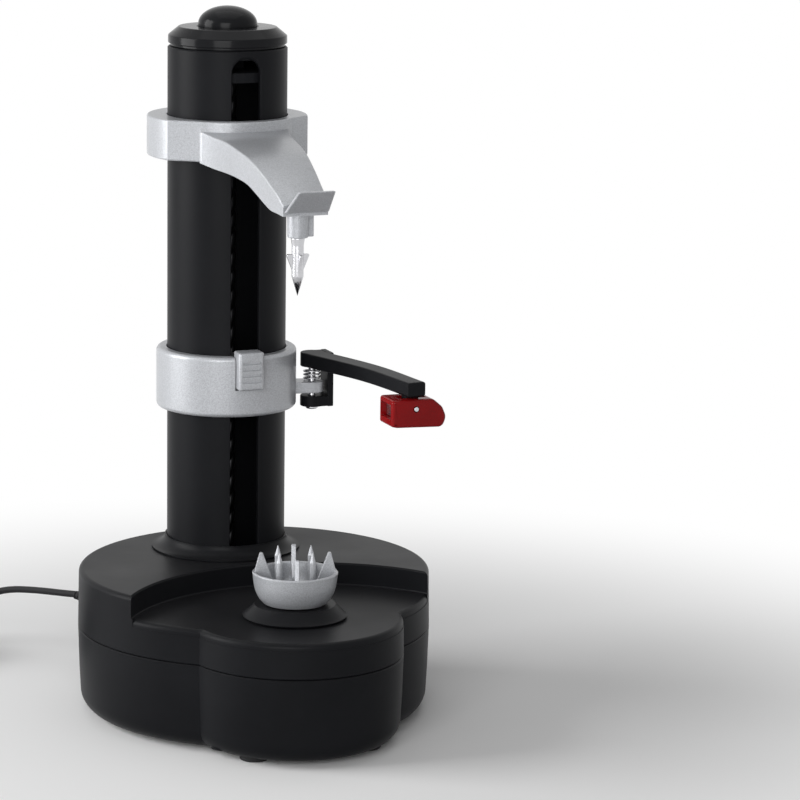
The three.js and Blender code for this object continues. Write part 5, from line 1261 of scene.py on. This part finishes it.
def make_springs():
    """The arm's, the button's and the release's spring: each a round wire along its helix."""
    wire, press = 0.4, 2.3
    arm_radius, button_radius, release_radius = 3.4, 5.4, 2.8
    arm = spring_path(arm_radius, EAR_TOP + FIT, ARM_BOTTOM - OVERRUN - FIT, 3) + [HINGE_X, HINGE_Y, 0]
    finish_piece(solid(tube(arm, wire)), "arm_coil_spring", "carriage", "steel", ["arm_spring"],
                 look="spring_steel")
    node = "power_button_spring"
    bottom, top = low(node)[2], high(node)[2]
    button = spring_path(button_radius, bottom, top, 4) + [0, COLUMN_Y, 0]
    made = finish_piece(solid(tube(button, wire)), "button_coil_spring", "base", "steel", [node],
                        look="spring_steel")
    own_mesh(made)
    node = "arm_release_spring"
    release = spring_path(release_radius, low(node)[1] - COLUMN_Y, high(node)[1] - COLUMN_Y, 2)
    laid = np.stack([release[:, 0], COLUMN_Y + release[:, 2], RELEASE_MIDDLE - release[:, 1]], -1)
    finish_piece(solid(tube(laid, wire, upright=(0, 1, 0))), "release_coil_spring", "upper_arm", "steel",
                 [node], look="spring_steel")


# Power lead

def outward(distance, height):
    """A point on the jack's line, away from the middle of the base."""
    return [distance * math.cos(JACK_TURN), BODY_Y + distance * math.sin(JACK_TURN), height]


COIL_OUTER = COIL_MEAN_RADIUS + COIL_PITCH * (COIL_LOOPS / COIL_LAYERS) / 2
LEAD_POINTS = [
    outward(RELIEF_END + FIT, JACK_HEIGHT), outward(RELIEF_END + 2 * CORD_RADIUS, JACK_HEIGHT),
    (-72, 135, 26.5), (-87, 149.5, 17.5), (-98.5, 156, 8), (-109, 156.9, 2.5),
    (COIL_X + 2 * CORD_RADIUS + FIT, COIL_Y + COIL_OUTER, 1.5),
]
TAIL_POINTS = [
    (COIL_X - 2 * CORD_RADIUS - FIT, COIL_Y + COIL_OUTER, 12.3), (-128.5, 155.2, 12.4), (-134, 153, 12.8),
    (-138, 152.2, 13), (ADAPTER_X + ADAPTER_LENGTH / 2 + 8 + FIT, ADAPTER_Y, ADAPTER_HEIGHT / 2),
    (ADAPTER_X, ADAPTER_Y, ADAPTER_HEIGHT / 2),
]


def coil_path():
    """Loops that spiral in and out by turns, and climb a layer in the half turn where the spiral reverses."""
    per_layer = COIL_LOOPS / COIL_LAYERS
    turns = np.linspace(0, COIL_LOOPS, COIL_LOOPS * 30 + 1)
    layer = np.minimum(np.floor(turns / per_layer), COIL_LAYERS - 1)
    along = turns / per_layer - layer
    inward = np.where(layer % 2 == 0, along, 1 - along)
    radius = COIL_OUTER - inward * COIL_PITCH * per_layer
    to_next = np.maximum(0, turns - (layer + 1) * per_layer + 0.25)
    from_last = np.maximum(0, layer * per_layer + 0.25 - turns)
    climb = np.where(layer < COIL_LAYERS - 1, 2 * to_next, 0) - np.where(layer > 0, 2 * from_last, 0)
    angle = QUARTER + TAU * turns
    return np.stack([COIL_X + radius * np.cos(angle), COIL_Y + radius * np.sin(angle),
                     CORD_RADIUS + COIL_PITCH * (layer + climb)], -1)


def cord_path():
    """The whole cord: the free stretch, the coil and the stretch to the adapter, all above the table."""
    path = np.concatenate([smooth(LEAD_POINTS, 8)[:-1], coil_path(), smooth(TAIL_POINTS, 6)[1:]])
    path[:, 2] = np.maximum(path[:, 2], CORD_RADIUS)
    return path


def make_plug():
    """The barrel plug: a barrel in a grip with round edges and shallow finger rings."""
    barrel, barrel_tip, barrel_length, bevel = 2.6, 2.2, 9.5, 0.4
    grip_radius, grip_edge, grip_end, rings, ring_depth = 4.6, 0.6, 3.3, 5, 0.22
    share = np.linspace(0, 1, 60)
    wave = ring_depth * np.clip(np.sin(share * TAU * rings), 0, 1) * (share > 0.15) * (share < 0.8)
    grip = np.stack([grip_radius - wave, PLUG_START + grip_edge + (GRIP_END - PLUG_START - 4) * share], -1)
    tip = PLUG_START - barrel_length
    front = [[0, tip], [barrel_tip, tip], [barrel, tip + bevel], [barrel, PLUG_START],
             [grip_radius - grip_edge, PLUG_START]]
    profile = np.concatenate([front, grip, [[grip_end, GRIP_END], [0, GRIP_END]]])
    plug = solid(laid_along(turned(profile, sides=64), JACK_TURN, BODY_Y, JACK_HEIGHT), caps=False)
    return finish_piece(plug, "plug_grip", "base", "black_satin", ["barrel_plug"])


def make_relief():
    """The plug's tapered relief: rings of rubber that get thinner towards the cord."""
    foot, rings, ring_depth = 2.9, 5, 0.35
    share = np.linspace(0, 1, 90)
    start = GRIP_END + FIT
    groove = ring_depth * (np.cos(share * TAU * rings) < -0.2)
    radius = foot + (CORD_RADIUS + FIT - foot) * share - groove
    side = np.stack([radius, start + (RELIEF_END - start) * share], -1)
    profile = np.concatenate([[[0, start]], side, [[0, RELIEF_END]]])
    relief = solid(laid_along(turned(profile, sides=48), JACK_TURN, BODY_Y, JACK_HEIGHT), caps=False)
    return finish_piece(relief, "plug_relief", "base", "black_satin", ["plug_strain_relief"],
                        look="cord_rubber")


def make_adapter():
    """The adapter on its side: a round-edged block, a part line, a nub for the cord and two prongs."""
    corner, edge = 4, 1.6
    prong_length, prong_thickness, prong_half, prong_corner = 17, 1.6, 3.2, 0.3
    prong_place, prong_beside, prong_edge = 7.5, 6.35, 0.4
    outline = box_outline(ADAPTER_LENGTH, ADAPTER_WIDTH, ADAPTER_X, ADAPTER_Y, corner)
    body = solid(prism(outline, 0, ADAPTER_HEIGHT, edge, edge))
    middle = ADAPTER_HEIGHT / 2
    nub = turned([[3.4, 0], [3.4, ADAPTER_LENGTH / 2 + 3], [2.9, ADAPTER_LENGTH / 2 + 8]], sides=48)
    nub = np.stack([ADAPTER_X + nub[..., 2], ADAPTER_Y + nub[..., 0], middle + nub[..., 1]], -1)
    join(body, solid(nub))
    slit = solid(prism(inset(outline, -0.5), middle - 0.2, middle + 0.2))
    cut(slit, solid(prism(inset(outline, 0.35), middle - OVERRUN, middle + OVERRUN)))
    cut(body, slit)
    finish_piece(body, "adapter_body", "base", "black_satin", ["wall_adapter"])
    x = ADAPTER_X - ADAPTER_LENGTH / 2 - prong_place
    outlines = [box_outline(prong_length, prong_thickness, x, ADAPTER_Y + side * prong_beside, prong_corner)
                for side in (-1, 1)]
    prongs = mesh_object("prongs", [prism(outline, middle - prong_half, middle + prong_half, prong_edge,
                                          prong_corner) for outline in outlines])
    finish_piece(prongs, "adapter_prongs", "base", "steel")
    return body, prongs


def make_tie():
    """The tie: a thin flat band round the coil's bundle on the side away from the peeler."""
    slack, thickness, half_band, corner, squareness = 0.7, 0.45, 2, 0.15, 0.45
    turn = np.linspace(0, TAU, 72, endpoint=False)
    half_width = COIL_PITCH * (COIL_LOOPS / COIL_LAYERS) / 2 + CORD_RADIUS + slack
    half_height = (CORD_RADIUS * 2 + COIL_PITCH * (COIL_LAYERS - 1) + slack) / 2
    across = np.sign(np.cos(turn)) * np.abs(np.cos(turn)) ** squareness * half_width
    up = np.sign(np.sin(turn)) * np.abs(np.sin(turn)) ** squareness * half_height
    section = rounded([[0, -half_band], [thickness, -half_band], [thickness, half_band], [0, half_band]],
                      corner, closed=True, steps=2)
    x = COIL_X - COIL_MEAN_RADIUS + across[:, None] * (1 - section[None, :, 0] / half_width)
    z = half_height + up[:, None] * (1 - section[None, :, 0] / half_height)
    y = np.broadcast_to(COIL_Y + section[:, 1], x.shape)
    grid = np.stack([x, y, np.maximum(z, 0.0)], -1)
    closed_grid = np.concatenate([grid, grid[:1]])
    return finish_piece(solid(closed_grid, caps=False), "cord_tie", "base", "rubber", look="cord_rubber")


def make_cord():
    """The cord: one round tube along its whole route, and the plug, relief, adapter and tie that are on it.
    """
    path = cord_path()
    cord = finish_piece(solid(tube(path, CORD_RADIUS)), "power_lead", "base", "rubber",
                        ["power_cord", "cord_coil", "adapter_cord"], look="cord_rubber")
    pieces = [make_plug(), make_relief(), *make_adapter(), make_tie()]


# Stage

def make_camera():
    """The camera of the photograph: aimed by azimuth and elevation, then rolled about its own axis."""
    azimuth, elevation = math.radians(CAMERA_AZIMUTH), math.radians(CAMERA_ELEVATION)
    back = Vector((math.sin(azimuth) * math.cos(elevation), -math.cos(azimuth) * math.cos(elevation),
                   math.sin(elevation)))
    aim = Vector((CAMERA_ACROSS * math.cos(azimuth), CAMERA_ACROSS * math.sin(azimuth), CAMERA_HEIGHT)) * MM
    right = Vector((math.cos(azimuth), math.sin(azimuth), 0))
    up = back.cross(right)
    roll = math.radians(CAMERA_ROLL)
    rolled_right = right * math.cos(roll) + up * math.sin(roll)
    rolled_up = up * math.cos(roll) - right * math.sin(roll)
    data = bpy.data.cameras.new("camera")
    data.lens = CAMERA_FOCUS_PX / PHOTO_WIDTH_PX * data.sensor_width
    data.clip_start, data.clip_end = CAMERA_CLIP_METRES
    camera = bpy.data.objects.new("camera", data)
    bpy.context.scene.collection.objects.link(camera)
    turn = Matrix((rolled_right, rolled_up, back)).transposed().to_4x4()
    camera.matrix_world = Matrix.Translation(aim + back * CAMERA_DISTANCE * MM) @ turn
    bpy.context.scene.camera = camera


def make_light(name, place, size, power):
    """A soft rectangular lamp that faces the peeler."""
    data = bpy.data.lights.new(name, "AREA")
    data.shape = "RECTANGLE"
    data.size, data.size_y = size
    data.energy = power
    lamp = bpy.data.objects.new(name, data)
    bpy.context.scene.collection.objects.link(lamp)
    lamp.location = place
    lamp.rotation_mode = "QUATERNION"
    lamp.rotation_quaternion = (Vector(place) - Vector(LAMP_AIM)).to_track_quat("Z", "Y")


def white_for_camera(tree):
    """1 where a ray comes from the camera, a mirror or glass, and 0 elsewhere."""
    rays = add(tree, "ShaderNodeLightPath").outputs
    direct = worked_out(tree, "MAXIMUM", rays["Is Camera Ray"], rays["Is Glossy Ray"])
    return worked_out(tree, "MAXIMUM", direct, rays["Is Transmission Ray"])


def make_floor():
    """A pale floor that turns into plain white away from the peeler, and can be looked through from below."""
    radius, thickness = 6000, 2
    white_from, white_to = 0.16, 0.42
    floor = solid(prism(circle_arc(0, 0, radius, 0, TAU, 96)[:-1], -thickness, 0), name="floor")
    material = bpy.data.materials.new("pale_floor")
    material.use_nodes = True
    tree = material.node_tree
    tree.nodes.clear()
    away = add(tree, "ShaderNodeVectorMath", {0: object_place(tree)}, operation="LENGTH").outputs["Value"]
    far = masked(tree, away, white_from, white_to, interpolation_type="SMOOTHSTEP")
    seen = worked_out(tree, "MULTIPLY", far, white_for_camera(tree))
    pale = add(tree, "ShaderNodeBsdfDiffuse", {"Color": (0.9, 0.9, 0.9, 1)}).outputs[0]
    white = add(tree, "ShaderNodeEmission", {"Color": (1, 1, 1, 1), "Strength": 1.0}).outputs[0]
    both = add(tree, "ShaderNodeMixShader", {0: seen, 1: pale, 2: white}).outputs[0]
    toward = add(tree, "ShaderNodeNewGeometry").outputs["Incoming"]
    upward = add(tree, "ShaderNodeSeparateXYZ", {0: toward}).outputs["Z"]
    from_below = worked_out(tree, "LESS_THAN", upward, 0.0)
    through = add(tree, "ShaderNodeBsdfTransparent").outputs[0]
    shown = add(tree, "ShaderNodeMixShader", {0: from_below, 1: both, 2: through}).outputs[0]
    add(tree, "ShaderNodeOutputMaterial", {"Surface": shown})
    floor.data.materials.append(material)


def make_world(ambient):
    """White where the camera looks past everything, and a soft even light elsewhere."""
    world = bpy.data.worlds.new("studio")
    bpy.context.scene.world = world
    world.use_nodes = True
    tree = world.node_tree
    tree.nodes.clear()
    strength = spread(tree, white_for_camera(tree), ambient, 1.0)
    light = add(tree, "ShaderNodeBackground", {"Color": (1, 1, 1, 1), "Strength": strength}).outputs[0]
    add(tree, "ShaderNodeOutputWorld", {"Surface": light})


# Carried-over nodes and their finishes
CARRIED = {
    "battery_holder": "inner_black", "battery_contact_front": "steel", "battery_contact_rear": "steel",
    "gear_frame": "white_nylon", "gear_frame_lid": "white_nylon", "motor": "steel",
    "circuit_board": "green_board", "power_switch": "inner_black", "stop_switch": "inner_black",
    "screw_bearing_lower": "brass",
    "screw_bearing_upper": "inner_black", "spindle_bush": "brass", "power_jack": "inner_black",
    "holder_spindle": "steel", "spindle_gear": "white_nylon", "idler_gear": "white_nylon",
    "screw_gear": "white_nylon", "reduction_gear": "white_nylon", "motor_pinion": "brass",
}


def dress_carried():
    """Gives each node that stays its own finish."""
    for node, name in CARRIED.items():
        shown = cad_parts[node]
        shown.data.materials.clear()
        shown.data.materials.append(finish(name))


# The add-on

class PeelerSizes(bpy.types.PropertyGroup):
    """Sizes of edges and grooves that don't change how the pieces fit."""
    deck_edge: FloatProperty(name="Deck edge", description="Radius of the decks' outer edges", default=0.002,
                             min=0.0005, max=0.004, unit="LENGTH")
    seam_edge: FloatProperty(name="Seam edge", description="Chamfer along the seam of the base",
                             default=0.0004, min=0.0001, max=0.001, unit="LENGTH")
    step_edge: FloatProperty(name="Step edge", description="Radius at the top and foot of the step",
                             default=0.0008, min=0.0002, max=0.002, unit="LENGTH")
    slot_lip: FloatProperty(name="Slot lip", description="Radius of the slot's outer edges", default=0.0011,
                            min=0.0002, max=0.002, unit="LENGTH")
    cap_groove: FloatProperty(name="Cap groove", description="Depth of the groove under the cap",
                              default=0.0009, min=0.0002, max=0.002, unit="LENGTH")
    collar_edge: FloatProperty(name="Collar edge", description="Radius of the carriage collar's edges",
                               default=0.0018, min=0.0005, max=0.003, unit="LENGTH")
    arm_edge: FloatProperty(name="Arm edge", description="Radius of the upper arm's edges", default=0.0008,
                            min=0.0002, max=0.0012, unit="LENGTH")


class PeelerColors(bpy.types.PropertyGroup):
    """Colours of the outer finishes, and the level of the even light."""
    black: FloatVectorProperty(name="Black plastic", description="Colour of the black pieces", size=3,
                               subtype="COLOR", default=(0.0065, 0.0068, 0.008), min=0, max=1)
    silver: FloatVectorProperty(name="Silver paint", description="Colour of the painted pieces", size=3,
                                subtype="COLOR", default=(0.37, 0.38, 0.4), min=0, max=1)
    red: FloatVectorProperty(name="Red plastic", description="Colour of the blade head", size=3,
                             subtype="COLOR", default=(0.2, 0.003, 0.004), min=0, max=1)
    ambient: FloatProperty(name="Even light", description="Strength of the light from all round", default=0.2,
                           min=0, max=2)


class PEELER_OT_stage(bpy.types.Operator):
    """Builds the camera, the lamps, the floor and the white surroundings"""
    bl_idname = "peeler.stage"
    bl_label = "Stage"

    def execute(self, context):
        make_camera()
        for name, (place, size, power) in LAMPS.items():
            make_light(name, place, size, power)
        make_floor()
        make_world(context.scene.peeler_colors.ambient)
        context.scene.view_settings.view_transform = "Standard"
        return {"FINISHED"}


class PEELER_OT_power_lead(bpy.types.Operator):
    """Builds the cord with its plug, relief, tie and adapter"""
    bl_idname = "peeler.power_lead"
    bl_label = "Power lead"

    def execute(self, context):
        make_cord()
        return {"FINISHED"}


class PEELER_OT_base(bpy.types.Operator):
    """Builds the base's two shells"""
    bl_idname = "peeler.base"
    bl_label = "Base shells"

    def execute(self, context):
        sizes = context.scene.peeler_sizes
        make_base_bottom(sizes)
        make_housing(sizes)
        return {"FINISHED"}


class PEELER_OT_underside(bpy.types.Operator):
    """Builds the feet, the closing screws, the battery door and the cells"""
    bl_idname = "peeler.underside"
    bl_label = "Feet, screws, door and cells"

    def execute(self, context):
        make_feet()
        make_housing_screws()
        make_battery_door(context.scene.peeler_sizes)
        make_cells()
        return {"FINISHED"}


class PEELER_OT_column(bpy.types.Operator):
    """Builds the column with its slot, and the flare at its foot"""
    bl_idname = "peeler.column"
    bl_label = "Column"

    def execute(self, context):
        make_column(context.scene.peeler_sizes)
        make_foot_ring()
        return {"FINISHED"}


class PEELER_OT_cap(bpy.types.Operator):
    """Builds the cap and the power button"""
    bl_idname = "peeler.cap"
    bl_label = "Cap and button"

    def execute(self, context):
        make_cap(context.scene.peeler_sizes)
        make_button()
        return {"FINISHED"}


class PEELER_OT_lead_screw(bpy.types.Operator):
    """Builds the lead screw inside the column"""
    bl_idname = "peeler.lead_screw"
    bl_label = "Lead screw"

    def execute(self, context):
        make_lead_screw()
        return {"FINISHED"}


class PEELER_OT_food_holder(bpy.types.Operator):
    """Builds the food cup and its skirt"""
    bl_idname = "peeler.food_holder"
    bl_label = "Food holder"

    def execute(self, context):
        make_food_cup()
        make_cup_skirt()
        return {"FINISHED"}


class PEELER_OT_carriage(bpy.types.Operator):
    """Builds the carriage collar and its latch"""
    bl_idname = "peeler.carriage"
    bl_label = "Carriage"

    def execute(self, context):
        make_collar(context.scene.peeler_sizes)
        make_latch()
        return {"FINISHED"}


class PEELER_OT_peel_arm(bpy.types.Operator):
    """Builds the peeling arm, the blade head, the blade and the pins"""
    bl_idname = "peeler.peel_arm"
    bl_label = "Peeling arm and blade head"

    def execute(self, context):
        make_peel_arm()
        make_blade_head()
        make_blade()
        make_pins()
        return {"FINISHED"}


class PEELER_OT_upper_arm(bpy.types.Operator):
    """Builds the upper arm, its release button and its spike"""
    bl_idname = "peeler.upper_arm"
    bl_label = "Upper arm"

    def execute(self, context):
        make_upper_arm(context.scene.peeler_sizes)
        make_release()
        make_top_spike()
        return {"FINISHED"}


class PEELER_OT_springs(bpy.types.Operator):
    """Builds the three coil springs"""
    bl_idname = "peeler.springs"
    bl_label = "Springs"

    def execute(self, context):
        make_springs()
        return {"FINISHED"}


class PEELER_OT_inner_parts(bpy.types.Operator):
    """Gives the inner parts of the drive their finishes"""
    bl_idname = "peeler.inner_parts"
    bl_label = "Inner parts"

    def execute(self, context):
        dress_carried()
        return {"FINISHED"}


OPERATORS = (
    PEELER_OT_stage, PEELER_OT_power_lead, PEELER_OT_base, PEELER_OT_underside, PEELER_OT_column,
    PEELER_OT_cap, PEELER_OT_lead_screw, PEELER_OT_food_holder, PEELER_OT_carriage, PEELER_OT_peel_arm,
    PEELER_OT_upper_arm, PEELER_OT_springs, PEELER_OT_inner_parts,
)


class PEELER_PT_panel(bpy.types.Panel):
    """The peeler's sizes, colours and pieces"""
    bl_idname = "PEELER_PT_panel"
    bl_label = "Electric peeler"
    bl_space_type = "VIEW_3D"
    bl_region_type = "UI"
    bl_category = "Peeler"

    def draw(self, context):
        for settings in (context.scene.peeler_sizes, context.scene.peeler_colors):
            box = self.layout.box()
            for name in settings.__annotations__:
                box.prop(settings, name)
        for operator in OPERATORS:
            self.layout.operator(operator.bl_idname)


CLASSES = (PeelerSizes, PeelerColors, *OPERATORS, PEELER_PT_panel)


def register():
    """Makes the classes and the scene's settings known to Blender."""
    for made in CLASSES:
        bpy.utils.register_class(made)
    bpy.types.Scene.peeler_sizes = PointerProperty(type=PeelerSizes)
    bpy.types.Scene.peeler_colors = PointerProperty(type=PeelerColors)


def unregister():
    """Takes them back."""
    del bpy.types.Scene.peeler_colors
    del bpy.types.Scene.peeler_sizes
    for made in reversed(CLASSES):
        bpy.utils.unregister_class(made)


def main():
    """Registers the add-on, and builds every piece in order."""
    register()
    for operator in OPERATORS:
        getattr(bpy.ops.peeler, operator.bl_idname.split(".")[1])()


if __name__ == "__main__":
    main()
